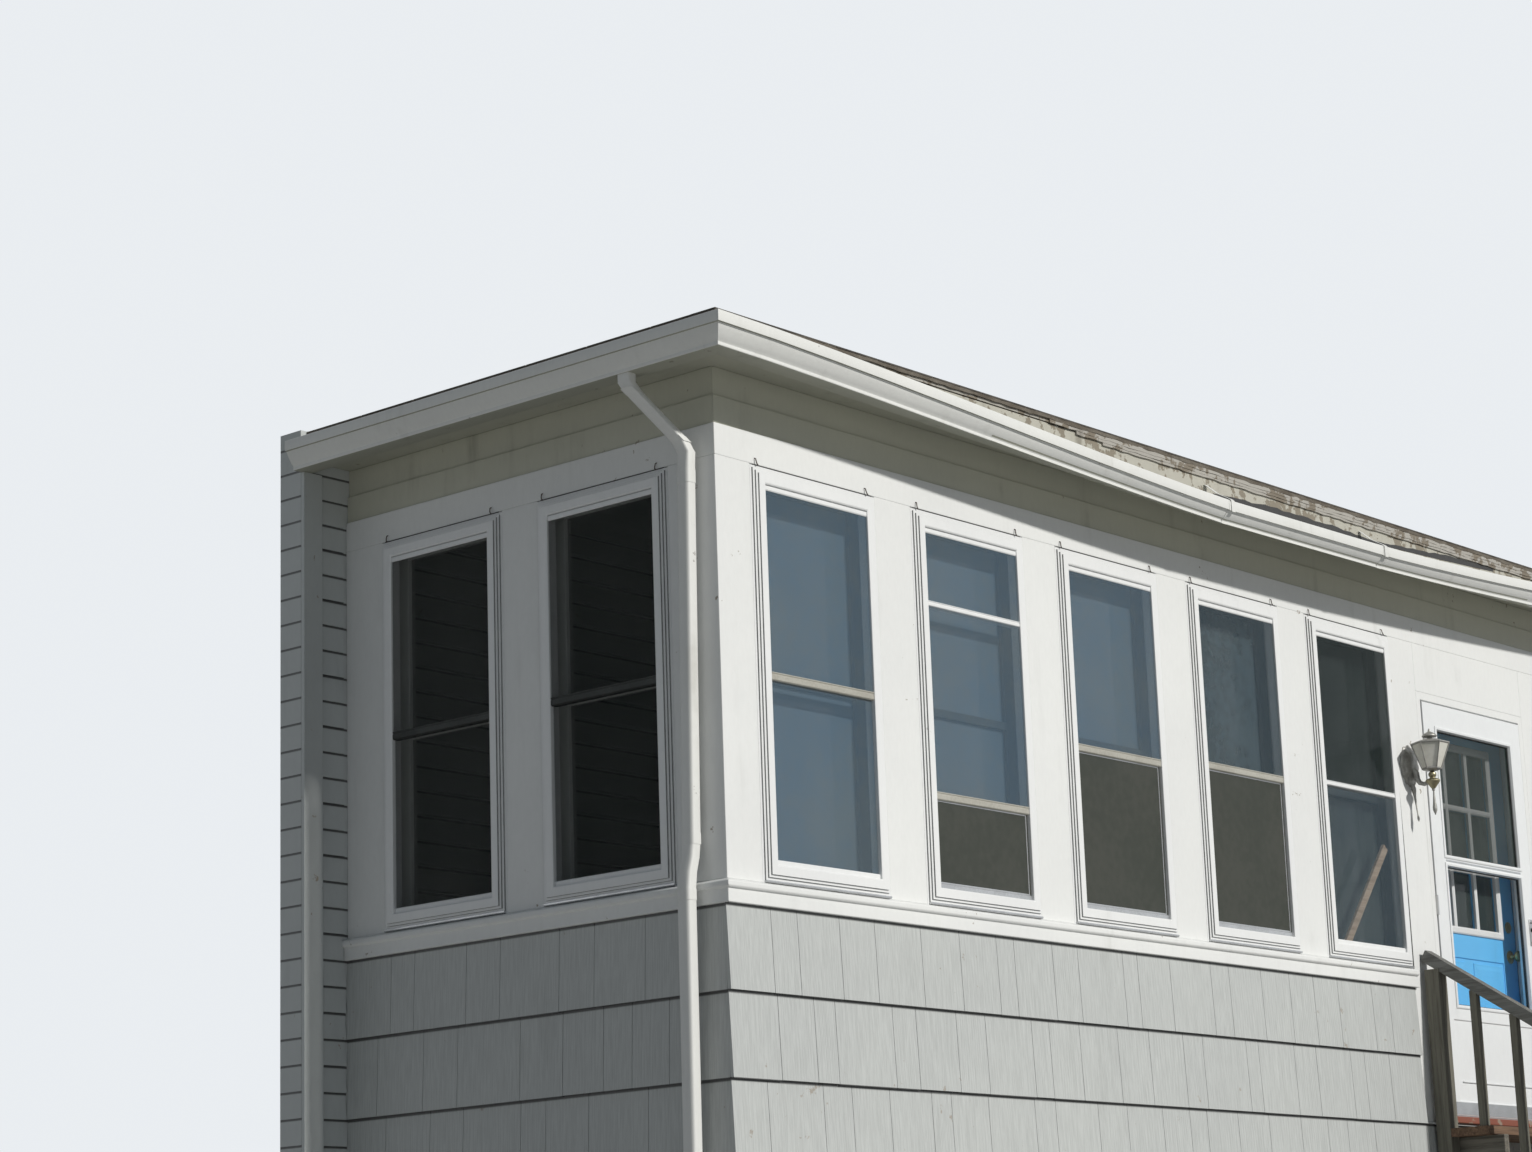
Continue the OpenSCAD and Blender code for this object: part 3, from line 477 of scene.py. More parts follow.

# %% [markdown]
# The other three kinds are simpler. Bare wood is squeezed along its grain. Metal, stone and
# roofing are mottled. A pane's colour is painted light: a painted reflection of the sky, or
# painted shade for a dim room, mottled with dust, and its alpha says how much of the room shows
# through: real refraction in a sheet of three millimetres would only cost time.

# %% Wood, mottled surfaces and panes
ALONG_GRAIN, ACROSS_GRAIN, WOOD_DEPTH = 0.9, 22, 0.002


def wooden(name, pale, dark, along, knots=0.5, bump=0.5):
    """Bare wood whose grain runs along x, y or z: the pattern is squeezed on that axis."""
    tree, spot, surface = start_material(name)
    factors = [ALONG_GRAIN if axis == along else ACROSS_GRAIN for axis in "xyz"]
    scaled = wire(tree, "ShaderNodeMapping", {"Vector": spot, "Scale": factors}).outputs[0]
    got = put_group(tree, TIMBER, {"Vector": scaled, "Pale": rgb(*pale), "Dark": rgb(*dark),
                                   "Grain": 0.5, "Knots": knots})
    set_surface(tree, surface, Base_Color=got["Color"], Roughness=got["Roughness"],
                Specular_IOR_Level=0.25)
    raise_surface(tree, got["Height"], bump, WOOD_DEPTH, surface)


def mottled(name, first, second, coarse, fine, rough=0.7, metal=0.0, bump=0.2, depth=0.001,
            level=0.5):
    tree, spot, surface = start_material(name)
    got = put_group(tree, MOTTLE, {"Vector": spot, "First": rgb(*first), "Second": rgb(*second),
                                   "Coarse": coarse, "Fine": fine, "Amount": 0.8})
    uneven = plus(tree, rough - 0.08, times(tree, got["Mask"], 0.16), clamp=True)
    set_surface(tree, surface, Base_Color=got["Color"], Roughness=uneven, Metallic=metal,
                Specular_IOR_Level=level)
    raise_surface(tree, got["Height"], bump, depth, surface)


def glazed(name, tint, dust, alpha, rough=0.06, level=0.5):
    """A pane whose colour is a painted sky reflection or painted shade, with dust: alpha lets the
    room show through it.
    """
    tree, spot, surface = start_material(name)
    got = put_group(tree, MOTTLE, {"Vector": spot, "First": rgb(*tint), "Second": rgb(*dust),
                                   "Coarse": 2.4, "Fine": 26.0, "Amount": 0.75})
    set_surface(tree, surface, Base_Color=got["Color"], Roughness=rough, Alpha=alpha,
                Specular_IOR_Level=level)
    MADE[name].blend_method = "BLEND"


print("other finishes use", TIMBER.name, "and", MOTTLE.name)

# %% [markdown]
# ## The paints
# No two painted parts look alike. The posts are nearly white. The frieze, the eaves and the
# fascia have yellowed, and are the dirtier the nearer they are to the gutters. The frieze and
# the eaves are also painted darker, as painted shade under the overhang. The baked enamel of
# the metal parts has chalked but doesn't flake.

# %% Mix the paints
painted("white_trim", (0.80, 0.81, 0.80), flaking=0.10, streaks=0.22)
# Frieze and soffit: yellowed paint, darkened further as painted shade under the eaves.
painted("frieze_paint", (0.56, 0.56, 0.47), bare=(0.30, 0.27, 0.21), grime=(0.22, 0.21, 0.17),
        flaking=0.12, streaks=0.65)
painted("eaves_paint_and_shade", (0.42, 0.42, 0.35), bare=(0.30, 0.27, 0.21), grime=(0.20, 0.19, 0.15),
        flaking=0.14, streaks=0.75)
painted("fascia_paint", (0.50, 0.485, 0.42), bare=(0.27, 0.24, 0.19), grime=(0.15, 0.13, 0.10),
        flaking=0.50, streaks=1.0, bump=0.6)
painted("corner_paint", (0.55, 0.575, 0.57), flaking=0.12, streaks=0.35)
# Shakes and clapboards carry painted shade under each course, set by their joint values.
painted("shake_paint", (0.54, 0.56, 0.55), bare=(0.40, 0.37, 0.33), grime=(0.24, 0.25, 0.24),
        flaking=0.08, streaks=0.3, fineness=90.0, bump=0.3, comb=0.14,
        joint=(0.45, 0.30, 0.011))
painted("clapboard_paint", (0.55, 0.575, 0.57), grime=(0.06, 0.065, 0.065), flaking=0.05,
        streaks=0.3, joint=(0.45, 0.10, 0.009))
painted("inside_paint", (0.70, 0.72, 0.69), flaking=0.03, streaks=0.25)
painted("floor_paint", (0.25, 0.27, 0.28), bare=(0.26, 0.21, 0.16), grime=(0.12, 0.12, 0.11),
        flaking=0.35, streaks=0.2)
painted("threshold_paint", (0.24, 0.075, 0.045), bare=(0.30, 0.24, 0.19), flaking=0.5,
        grime=(0.10, 0.07, 0.05))
painted("ceiling_paint", (0.66, 0.68, 0.67), flaking=0.06, streaks=0.2)
painted("deck_board", (0.42, 0.40, 0.36), bare=(0.22, 0.19, 0.15), grime=(0.12, 0.10, 0.08),
        flaking=0.5, streaks=0.9, bump=0.5)
# Painted shade: the front sashes are near black, for the shade between storm window and sash.
painted("sash_painted_shade", (0.055, 0.07, 0.075), bare=(0.12, 0.12, 0.11), flaking=0.1)
painted("door_blue", (0.14, 0.55, 0.98), bare=(0.35, 0.36, 0.38), grime=(0.04, 0.09, 0.2),
        flaking=0.02, streaks=0.15, bump=0.12, sheen=0.5)
painted("frame_enamel", (0.82, 0.83, 0.83), bare=(0.5, 0.5, 0.5), flaking=0.0, streaks=0.15,
        bump=0.06, sheen=0.5)
painted("door_enamel", (0.80, 0.82, 0.83), bare=(0.5, 0.5, 0.5), flaking=0.0, streaks=0.12,
        bump=0.06, sheen=0.5)
painted("gutter_enamel", (0.78, 0.785, 0.76), bare=(0.45, 0.44, 0.42), grime=(0.34, 0.33, 0.28),
        flaking=0.06, streaks=0.55, bump=0.08, sheen=0.45)
# Painted shade: the gutters' downward faces get this darker paint.
painted("gutter_underside_shade", (0.36, 0.36, 0.30), bare=(0.25, 0.24, 0.20), grime=(0.20, 0.20, 0.16),
        flaking=0.1, streaks=0.8, bump=0.1)
print("paints", len(MADE))

# %% [markdown]
# ## Metals, stone and roofing
# Bare metals take their dullness from roughness, and the hooks are too rusty to be metallic at
# all. Stone and granules are rough, coarse and a little raised.

# %% Mix the mottled finishes
# Painted shade: the side windows' meeting rails are made near black, for the shade on that side.
mottled("side_rail_shade", (0.038, 0.042, 0.040), (0.026, 0.029, 0.028), 6.0, 90.0, rough=0.6,
        level=0.25)
mottled("rail_almond", (0.44, 0.43, 0.38), (0.34, 0.325, 0.28), 6.0, 90.0, rough=0.45)
# Painted shade for the storm frames' risers.
mottled("riser_painted_shade", (0.26, 0.27, 0.27), (0.17, 0.175, 0.175), 14.0, 160.0, rough=0.6)
mottled("mill_aluminium", (0.55, 0.56, 0.57), (0.40, 0.41, 0.42), 8.0, 200.0, rough=0.4,
        metal=0.8)
mottled("concrete", (0.42, 0.41, 0.38), (0.29, 0.28, 0.26), 2.2, 70.0, rough=0.9, bump=0.6,
        depth=0.003)
mottled("roofing", (0.075, 0.07, 0.065), (0.19, 0.175, 0.155), 4.0, 330.0, rough=0.95, bump=0.7,
        depth=0.002, level=0.15)
mottled("roof_edge", (0.115, 0.098, 0.078), (0.22, 0.20, 0.17), 9.0, 260.0, rough=0.95, bump=0.8,
        depth=0.003, level=0.15)
mottled("dark_rubber", (0.03, 0.03, 0.03), (0.05, 0.05, 0.05), 20.0, 200.0, rough=0.7)
mottled("steel", (0.50, 0.50, 0.50), (0.36, 0.36, 0.36), 9.0, 240.0, rough=0.35, metal=1.0)
mottled("rusty_nail", (0.07, 0.055, 0.045), (0.14, 0.125, 0.11), 30.0, 300.0, rough=0.8)
mottled("old_brass", (0.52, 0.40, 0.18), (0.28, 0.21, 0.11), 25.0, 220.0, rough=0.35, metal=1.0)
mottled("lamp_pewter", (0.38, 0.375, 0.35), (0.22, 0.215, 0.20), 30.0, 260.0, rough=0.5,
        metal=0.45)
mottled("lamp_brass", (0.36, 0.32, 0.20), (0.22, 0.20, 0.14), 25.0, 220.0, rough=0.38,
        metal=0.8)
print("paints and mottled finishes", len(MADE))

# %% [markdown]
# ## Wood and glass
# The stair's lumber has greyed, but the treads still keep some of their red. The panes differ
# most: some carry a painted reflection of the sky, some painted shade for a dark room, and the
# storm door's upper light is dimmer than its lower one, with a darker painted reflection.

# %% Mix the wood and the glass
wooden("stair_post_wood", (0.215, 0.21, 0.175), (0.115, 0.112, 0.092), "z")
wooden("stair_rail_wood", (0.24, 0.23, 0.20), (0.09, 0.085, 0.07), "y")
wooden("handrail_wood", (0.26, 0.265, 0.255), (0.12, 0.12, 0.11), "y")
wooden("tread_wood", (0.24, 0.155, 0.10), (0.085, 0.055, 0.04), "x", knots=0.4)
wooden("stick_wood", (0.62, 0.50, 0.38), (0.36, 0.26, 0.18), "x", knots=0.1, bump=0.2)
# Painted light in the panes: sky, stick, inner sky and door lower are painted sky reflections; door
# upper and inner dark reflection are darker painted reflections; dim, dark, inner dim, inner dark
# and entry pane are painted shade.
glazed("sky_glass", (0.10, 0.17, 0.24), (0.15, 0.20, 0.23), 0.30)
glazed("dim_glass", (0.02, 0.032, 0.032), (0.045, 0.06, 0.06), 0.30, level=0.2)
glazed("stick_glass", (0.065, 0.11, 0.145), (0.11, 0.155, 0.18), 0.20)
glazed("dark_glass", (0.010, 0.016, 0.014), (0.03, 0.035, 0.03), 0.26, level=0.12)
glazed("inner_sky", (0.165, 0.245, 0.32), (0.20, 0.245, 0.27), 0.85)
glazed("inner_dark_reflection", (0.085, 0.12, 0.14), (0.03, 0.042, 0.036), 0.85, level=0.2)
glazed("inner_dim", (0.03, 0.045, 0.045), (0.06, 0.075, 0.07), 0.80, level=0.15)
glazed("inner_dark", (0.010, 0.014, 0.012), (0.025, 0.03, 0.025), 0.22, level=0.1)
glazed("door_upper", (0.04, 0.055, 0.05), (0.07, 0.09, 0.08), 0.34, level=0.2)
glazed("door_lower", (0.06, 0.09, 0.11), (0.10, 0.13, 0.15), 0.045)
glazed("entry_pane", (0.03, 0.042, 0.04), (0.06, 0.075, 0.07), 0.72, level=0.2)
glazed("frosted_pane", (0.80, 0.79, 0.72), (0.62, 0.60, 0.52), 0.82, 0.55)
glazed("insect_screen", (0.040, 0.046, 0.037), (0.060, 0.063, 0.053), 0.84, 0.8)
print("finishes", len(MADE))

# %% [markdown]
# ## Drawing helpers
# Most pieces here are boards, frames and turned work, so three shapes are enough: a box
# between two corners, a profile swept round a rectangle as a frame is mitred, and a lathe
# profile. A small class gathers them in one mesh, with a material for each part. A sweep
# through many outlines does what is left, such as the gutters and the downspout.

# %% A mesh gatherer
def joined(count, n, round_again=False):
    """Faces between rings of n points each, from one ring to the next."""
    return [(i * n + k, i * n + (k + 1) % n, (i + 1) % count * n + (k + 1) % n,
             (i + 1) % count * n + k)
            for i in range(count if round_again else count - 1) for k in range(n)]


class Piece:
    def __init__(self, *materials):
        self.points, self.faces, self.picks = [], [], []
        self.materials = materials

    def add(self, points, faces, put=None, material=0):
        start = len(self.points)
        self.points += [put(*p) if put else Vector(p) for p in points]
        self.faces += [[start + i for i in f] for f in faces]
        self.picks += [material] * len(faces)

    def box(self, x0, x1, y0, y1, z0, z1, put=None, material=0):
        corners = [(x, y, z) for z in (z0, z1) for y in (y0, y1) for x in (x0, x1)]
        self.add(corners, [(0, 2, 3, 1), (4, 5, 7, 6), (0, 1, 5, 4), (2, 6, 7, 3), (0, 4, 6, 2),
                           (1, 3, 7, 5)], put, material)

    def frame(self, x0, x1, z0, z1, profile, put=None, material=0):
        """profile: a closed outline of (inwards, depth), swept round the rectangle."""
        rings = [[(x0 + u, v, z0 + u), (x1 - u, v, z0 + u), (x1 - u, v, z1 - u),
                  (x0 + u, v, z1 - u)] for u, v in profile]
        self.add([p for r in rings for p in r], joined(len(rings), 4, round_again=True), put,
                 material)

    def sweep(self, sections, put=None, material=0):
        """Joins sections, each a closed outline of the same number of points, and caps both
        ends."""
        n, last = len(sections[0]), (len(sections) - 1) * len(sections[0])
        ends = [tuple(range(n))[::-1], tuple(range(last, last + n))]
        self.add([p for s in sections for p in s], joined(len(sections), n) + ends, put,
                 material)

    def lathe(self, outline, centre, put=None, material=0, steps=20, axis="z"):
        """outline: (radius, along), first and last on the axis. Few steps make facets."""
        def spot(r, along, angle):
            a, b = r * math.cos(angle), r * math.sin(angle)
            x, y, z = (a, along, b) if axis == "y" else (a, b, along)
            return centre[0] + x, centre[1] + y, centre[2] + z
        rows = [[spot(r, h, 2 * math.pi * k / steps) for k in range(steps)]
                for r, h in outline[1:-1]]
        points = [p for row in rows for p in row]
        top, first, last = (len(rows) - 1) * steps, len(points), len(points) + 1
        points += [spot(0, outline[0][1], 0), spot(0, outline[-1][1], 0)]
        faces = joined(len(rows), steps)
        faces += [(first, (k + 1) % steps, k) for k in range(steps)]
        faces += [(last, top + k, top + (k + 1) % steps) for k in range(steps)]
        self.add(points, faces, put, material)

    def mesh(self, name):
        """The gathered points and faces as a mesh, with a material for each part."""
        mesh = bpy.data.meshes.new(name)
        mesh.from_pydata([tuple(p) for p in self.points], [], self.faces)
        for material in self.materials:
            mesh.materials.append(MADE[material])
        for face, pick in zip(mesh.polygons, self.picks):
            face.material_index = pick
        outward(mesh)
        return mesh

    def finish(self, name, body, slot, *stands_for, bevel=0.0, smooth=None):
        return settle(name, self.mesh(name), body, slot, *stands_for, bevel=bevel,
                      smooth=smooth)


print("a piece can be drawn from", [n for n in vars(Piece) if not n.startswith("_")])

# %% [markdown]
# A mesh becomes a piece in three steps. Its faces are turned outwards, its sharp edges are
# eased with a small bevel that catches the light as a worn edge does, and it is hung on the
# empty of the body that carries it, while the solid it stands for is hidden.

# %% From a mesh to a piece
SHARP_ANGLE, BEVEL_STEPS = 32, 2


def outward(mesh, merge=0.0, planar=0.0):
    """Points every face outwards, after merging points and flat faces where asked."""
    work = bmesh.new()
    work.from_mesh(mesh)
    if merge:
        bmesh.ops.remove_doubles(work, verts=work.verts, dist=merge)
    if planar:
        bmesh.ops.dissolve_limit(work, angle_limit=planar, verts=work.verts, edges=work.edges)
    bmesh.ops.recalc_face_normals(work, faces=work.faces)
    work.to_mesh(mesh)
    work.free()


def settle(name, mesh, body, slot, *stands_for, bevel=0.0, smooth=None):
    """Makes the piece's object at the origin, eases its edges, hangs it on its body's empty and
    hides the solids it stands for.
    """
    piece = bpy.data.objects.new(name, mesh)
    bpy.context.scene.collection.objects.link(piece)
    if bevel:
        ease = piece.modifiers.new("eased_edges", "BEVEL")
        ease.width, ease.segments, ease.limit_method = bevel, BEVEL_STEPS, "ANGLE"
        ease.angle_limit = math.radians(SHARP_ANGLE)
    if smooth is not None:
        mesh.shade_smooth()
        mesh.set_sharp_from_angle(angle=math.radians(smooth))
    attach(piece, body)
    if stands_for:
        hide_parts(*stands_for)
    return piece


def repaint(piece, material, chosen):
    """Gives the faces that a test picks another finish. The test reads a face's corners."""
    piece.data.materials.append(MADE[material])
    points = [Vector(v.co) for v in piece.data.vertices]
    for face in piece.data.polygons:
        if chosen(face, [points[i] for i in face.vertices]):
            face.material_index = len(piece.data.materials) - 1


def tapered_rod(points, radii, sides=10):
    """Rings for a round rod through points, as thick at each as its radius says."""
    rings, last_side = [], None
    for i, (point, radius) in enumerate(zip(points, radii)):
        before, after = points[max(i - 1, 0)], points[min(i + 1, len(points) - 1)]
        along = (Vector(after) - Vector(before)).normalized()
        side = along.orthogonal() if last_side is None else (
            last_side - along * last_side.dot(along))
        side = side.normalized()
        last_side = side
        up = along.cross(side)
        angles = [2 * math.pi * k / sides for k in range(sides)]
        rings.append([tuple(Vector(point) + radius * (math.cos(a) * side + math.sin(a) * up))
                      for a in angles])
    return rings


print("pieces can be settled, repainted and bent from rod")

# %% [markdown]
# Where a solid already has the right shape, its mesh is copied and only dressed. The solids
# are loose triangles, so the copy is merged and its flat faces are joined first, or the bevel
# would follow the triangles' edges.

# %% Dress a solid
PORCH, STORM_LEAF, ENTRY_LEAF = "porch", "storm_door_leaf", "entry_door_leaf"
SLOT_OF = {s["node"]: s["material_slot"] for s in frame["record"]["subparts"]}
SAME_POINT, FLAT_ANGLE = 1e-5, 0.5


def dress(node, material, bevel=0.002, body=PORCH):
    """A merged copy of a solid, with eased edges and its finish, stands for the plain one."""
    mesh = frame["nodes"][node].data.copy()
    mesh.materials.clear()
    mesh.materials.append(MADE[material])
    outward(mesh, merge=SAME_POINT, planar=math.radians(FLAT_ANGLE))
    for face in mesh.polygons:
        face.material_index = 0
    return settle(node + "_dressed", mesh, body, SLOT_OF[node], node, bevel=bevel)


print("solids to dress or replace", len(SLOT_OF))

# %% [markdown]
# ## Repeats with Geometry Nodes
# Shakes, roof tabs, boards and hooks all repeat with small differences. Geometry Nodes
# place copies of one small mesh, vary them from a fixed seed, and turn them into real mesh at
# the end, because a file of the model can't keep instances.

# %% Run a tree on a seed mesh and keep plain mesh
def grown(name, tree, seed_mesh, values):
    seed = bpy.data.objects.new(name, seed_mesh)
    bpy.context.scene.collection.objects.link(seed)
    modifier = seed.modifiers.new("repeat", "NODES")
    modifier.node_group = tree
    sockets = {i.name: i.identifier for i in tree.interface.items_tree if i.in_out == "INPUT"}
    for key, value in values.items():
        modifier[sockets[key]] = value
    seed.update_tag()
    graph = bpy.context.evaluated_depsgraph_get()
    mesh = bpy.data.meshes.new_from_object(seed.evaluated_get(graph))
    bpy.data.objects.remove(seed)
    mesh.name = name
    return mesh


def moved_mesh(mesh, put):
    """Carries a mesh drawn in wall coordinates to its wall, faces kept outwards."""
    for vertex in mesh.vertices:
        vertex.co = put(*vertex.co)
    outward(mesh)
    return mesh


def join_meshes(name, meshes):
    whole = bmesh.new()
    for mesh in meshes:
        whole.from_mesh(mesh)
    joined = bpy.data.meshes.new(name)
    whole.to_mesh(joined)
    whole.free()
    for material in meshes[0].materials:
        joined.materials.append(material)
    return joined


print("a tree's result is kept as plain mesh")

# %% [markdown]
# Tiles on a wall or a roof aren't equally wide. The course tree counts points along a line,
# finds each point's row and column, and moves every joint between two tiles by a random part
# of a tile. A tile reads the joints on both of its sides, so that no gap or overlap appears.
# The other rows need only equal steps and, for the hooks, a small random turn.

# %% Steps for these trees
GEOMETRY, MATERIAL, INTEGER = "NodeSocketGeometry", "NodeSocketMaterial", "NodeSocketInt"


def chance(tree, low, high, seed, key=None):
    """A random number for each point or each key, the same on every run."""
    values = {2: low, 3: high, "Seed": seed}
    if key is not None:
        values["ID"] = key
    node = wire(tree, "FunctionNodeRandomValue", values, data_type="FLOAT")
    return next(o for o in node.outputs if o.enabled)


def keep_real(tree, copies, given, out):
    """Turns copies into real mesh, gives it the wanted finish and hands it out."""
    real = wire(tree, "GeometryNodeRealizeInstances", {"Geometry": copies.outputs[0]})
    done = wire(tree, "GeometryNodeSetMaterial", {"Geometry": real.outputs[0],
                                                  "Material": given["Finish"]})
    hand_out(tree, out, {"Geometry": done.outputs[0]})


print("sockets in use", GEOMETRY, MATERIAL, INTEGER)


# %% The tree for courses of tiles
def make_course_tree():
    """Rows of unit tiles over a rectangle, each tile as wide as the random joints leave it."""
    tree, given, out = group_tree("tile_courses", [
        ("Geometry", GEOMETRY, None), ("Length", FLOAT, 1.0), ("Rows", INTEGER, 5),
        ("Columns", INTEGER, 8), ("Row Height", FLOAT, 0.3), ("Tile Height", FLOAT, 0.3),
        ("Jitter", FLOAT, 0.4), ("Gap", FLOAT, 0.003), ("Drop", FLOAT, 0.003),
        ("Stagger", FLOAT, 0.0), ("Seed", INTEGER, 1), ("Finish", MATERIAL, None)],
        [("Geometry", GEOMETRY)], "GeometryNodeTree")
    length, rows, columns = given["Length"], given["Rows"], given["Columns"]
    line = wire(tree, "GeometryNodeMeshLine", {"Count": times(tree, rows, columns),
                "Offset": (0, 0, 0)}, mode="OFFSET")
    index = wire(tree, "GeometryNodeInputIndex").outputs[0]
    row = math_node(tree, "FLOOR", math_node(tree, "DIVIDE", plus(tree, index, 0.5), columns),
                    0.0)
    column = minus(tree, index, times(tree, row, columns))
    pitch = math_node(tree, "DIVIDE", length, columns)
    shift = times(tree, math_node(tree, "MODULO", row, 2.0), given["Stagger"])

    def joint(step):
        """The place of the joint before a tile: straight at both ends, random between."""
        place = plus(tree, column, float(step))
        key = plus(tree, index, plus(tree, float(step), times(tree, row, 7.0)))
        swing = chance(tree, -0.5, 0.5, given["Seed"], key)
        inside = times(tree, math_node(tree, "GREATER_THAN", place, 0.5),
                       math_node(tree, "LESS_THAN", place, minus(tree, columns, 0.5)))
        sway = plus(tree, times(tree, swing, given["Jitter"]), shift)
        return times(tree, pitch, plus(tree, place, times(tree, inside, sway)))

    start, end = joint(0), joint(1)
    drop = times(tree, chance(tree, 0.0, 1.0, plus(tree, given["Seed"], 9.0), index),
                 given["Drop"])
    height = minus(tree, times(tree, row, given["Row Height"]), drop)
    width = minus(tree, minus(tree, end, start), given["Gap"])
    place = wire(tree, "ShaderNodeCombineXYZ", {0: start, 1: 0.0, 2: height}).outputs[0]
    scale = wire(tree, "ShaderNodeCombineXYZ", {0: width, 1: 1.0, 2: given["Tile Height"]})
    moved = wire(tree, "GeometryNodeSetPosition", {"Geometry": line.outputs[0],
                                                   "Position": place})
    copies = wire(tree, "GeometryNodeInstanceOnPoints", {"Points": moved.outputs[0],
                  "Instance": given["Geometry"], "Scale": scale.outputs[0]})
    keep_real(tree, copies, given, out)
    return tree


COURSES = make_course_tree()
print("tree", COURSES.name, "with", len(COURSES.nodes), "nodes")


# %% The tree for equal rows
def make_row_tree():
    """Copies of one small mesh at equal steps, for hooks, boards, hip caps and spike heads."""
    tree, given, out = group_tree("equal_row", [
        ("Geometry", GEOMETRY, None), ("Count", INTEGER, 4), ("Step", VECTOR, (1, 0, 0)),
        ("Start", VECTOR, (0, 0, 0)), ("Sway", FLOAT, 0.0), ("Seed", INTEGER, 1),
        ("Finish", MATERIAL, None)], [("Geometry", GEOMETRY)], "GeometryNodeTree")
    line = wire(tree, "GeometryNodeMeshLine", {"Count": given["Count"],
                "Start Location": given["Start"], "Offset": given["Step"]}, mode="OFFSET")
    sway = chance(tree, times(tree, given["Sway"], -1.0), given["Sway"], given["Seed"])
    turn = wire(tree, "ShaderNodeCombineXYZ", {1: sway})
    copies = wire(tree, "GeometryNodeInstanceOnPoints", {"Points": line.outputs[0],
                  "Instance": given["Geometry"], "Rotation": turn.outputs[0]})
    keep_real(tree, copies, given, out)
    return tree


ROW = make_row_tree()
print("tree", ROW.name, "with", len(ROW.nodes), "nodes")

# %% [markdown]
# ## Foundation
# The photograph ends above the ground. A porch of this kind stands on a low concrete wall.

# %% Dress the foundation
for node in ("foundation_front", "foundation_left", "foundation_right"):
    dress(node, "concrete", 0.006)
print("foundation is dressed")

# %% [markdown]
# ## Shakes
# The lower walls are clad in wide wooden shakes with combed grooves, painted pale grey. Each
# shows about 0.3 m and is thicker at its lower edge, which draws the dark line under every
# course, deepened by painted shade in the paint. One grooved shake is drawn as a unit, and the
# course tree gives each its own width.

# %% One grooved shake, one metre wide and one tall
BUTT_T, HEAD_T, GROOVES, GROOVE_DEPTH = 0.016, 0.004, 13, 0.0004


def unit_shake():
    """Front and back rows of points at its lower and its upper edge, joined by strips."""
    piece = Piece()
    n = GROOVES * 2 + 1
    points = []
    for z, out in ((0.0, BUTT_T), (1.0, HEAD_T)):
        points += [(k / (n - 1), -out + (GROOVE_DEPTH if k % 2 else 0.0), z) for k in range(n)]
    for z in (0.0, 1.0):
        points += [(k / (n - 1), 0.0, z) for k in range(n)]
    faces = []
    for k in range(n - 1):
        faces.append((k, k + 1, n + k + 1, n + k))
        faces.append((2 * n + k + 1, 2 * n + k, 3 * n + k, 3 * n + k + 1))
        faces.append((k + 1, k, 2 * n + k, 2 * n + k + 1))
        faces.append((n + k, n + k + 1, 3 * n + k + 1, 3 * n + k))
    faces.append((0, n, 3 * n, 2 * n))
    faces.append((n - 1, 3 * n - 1, 4 * n - 1, 2 * n - 1))
    piece.add(points, faces)
    return piece.mesh("unit_shake")


SHAKE = unit_shake()
print("one shake has", len(SHAKE.polygons), "faces")

# %% [markdown]
# A wall's shakes stop under its sill, so the last course is cut short there. Behind them a
# flat backing closes the joints, in the same paint, and both stand for the wall's solid.

# %% Shakes for one wall
FOUNDATION_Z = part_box("foundation_front")[1][2]
COURSE_H = (APRON_Z - FOUNDATION_Z) / 5
SHAKE_W, LAP_UP, BACKING_T = 0.21, 0.004, 0.15


def shake_wall(name, x0, x1, top, put, node, seed, past0=0.0, past1=0.0):
    """Shakes from x0 to x1 along a wall, up to a height, over a flat backing."""
    rows = math.ceil((top - FOUNDATION_Z) / COURSE_H - 1e-6)
    length = x1 - x0 + past0 + past1
    mesh = grown(name, COURSES, SHAKE, {
        "Length": length, "Rows": rows, "Columns": round(length / SHAKE_W), "Gap": 0.0022,
        "Row Height": COURSE_H, "Tile Height": COURSE_H + LAP_UP, "Jitter": 0.62,
        "Drop": 0.003, "Seed": seed, "Finish": MADE["shake_paint"]})
    for vertex in mesh.vertices:
        vertex.co = put(vertex.co.x + x0 - past0, vertex.co.y,
                        min(vertex.co.z + FOUNDATION_Z, top))
    outward(mesh)
    settle(name + "_shakes", mesh, PORCH, "shingle_paint", node)
    backing = Piece("shake_paint")
    backing.box(x0, x1, 0.0, BACKING_T, FOUNDATION_Z, top, put)
    backing.finish(name + "_backing", PORCH, "shingle_paint", node)
    return len(mesh.polygons)


print("a course is", round(COURSE_H, 3), "m high")

# %% Clad the five lower walls
CORNER = 0.016
LAST_END = 4.602
made = [
    shake_wall("front_wall", 0.0, LAST_END, APRON_Z, on_front, "lower_wall_front", 3,
               past0=CORNER),
    shake_wall("below_door", LAST_END, FAR_X, FLOOR_Z, on_front, "lower_wall_door", 5),
    shake_wall("far_wall", FAR_X, SPAN, APRON_Z, on_front, "lower_wall_far", 8, past1=CORNER),
    shake_wall("left_wall", 0.0, SIDE_L, APRON_Z, on_left, "lower_wall_left", 11),
    shake_wall("right_wall", 0.0, SIDE_L, APRON_Z, on_right, "lower_wall_right", 14),
]
print("shake faces", made)

# %% [markdown]
# ## White trim
# Posts, mullions, sills and casings are painted boards with eased edges. The solids already
# have their shape, so each is copied, merged, bevelled by two or three millimetres and
# painted.

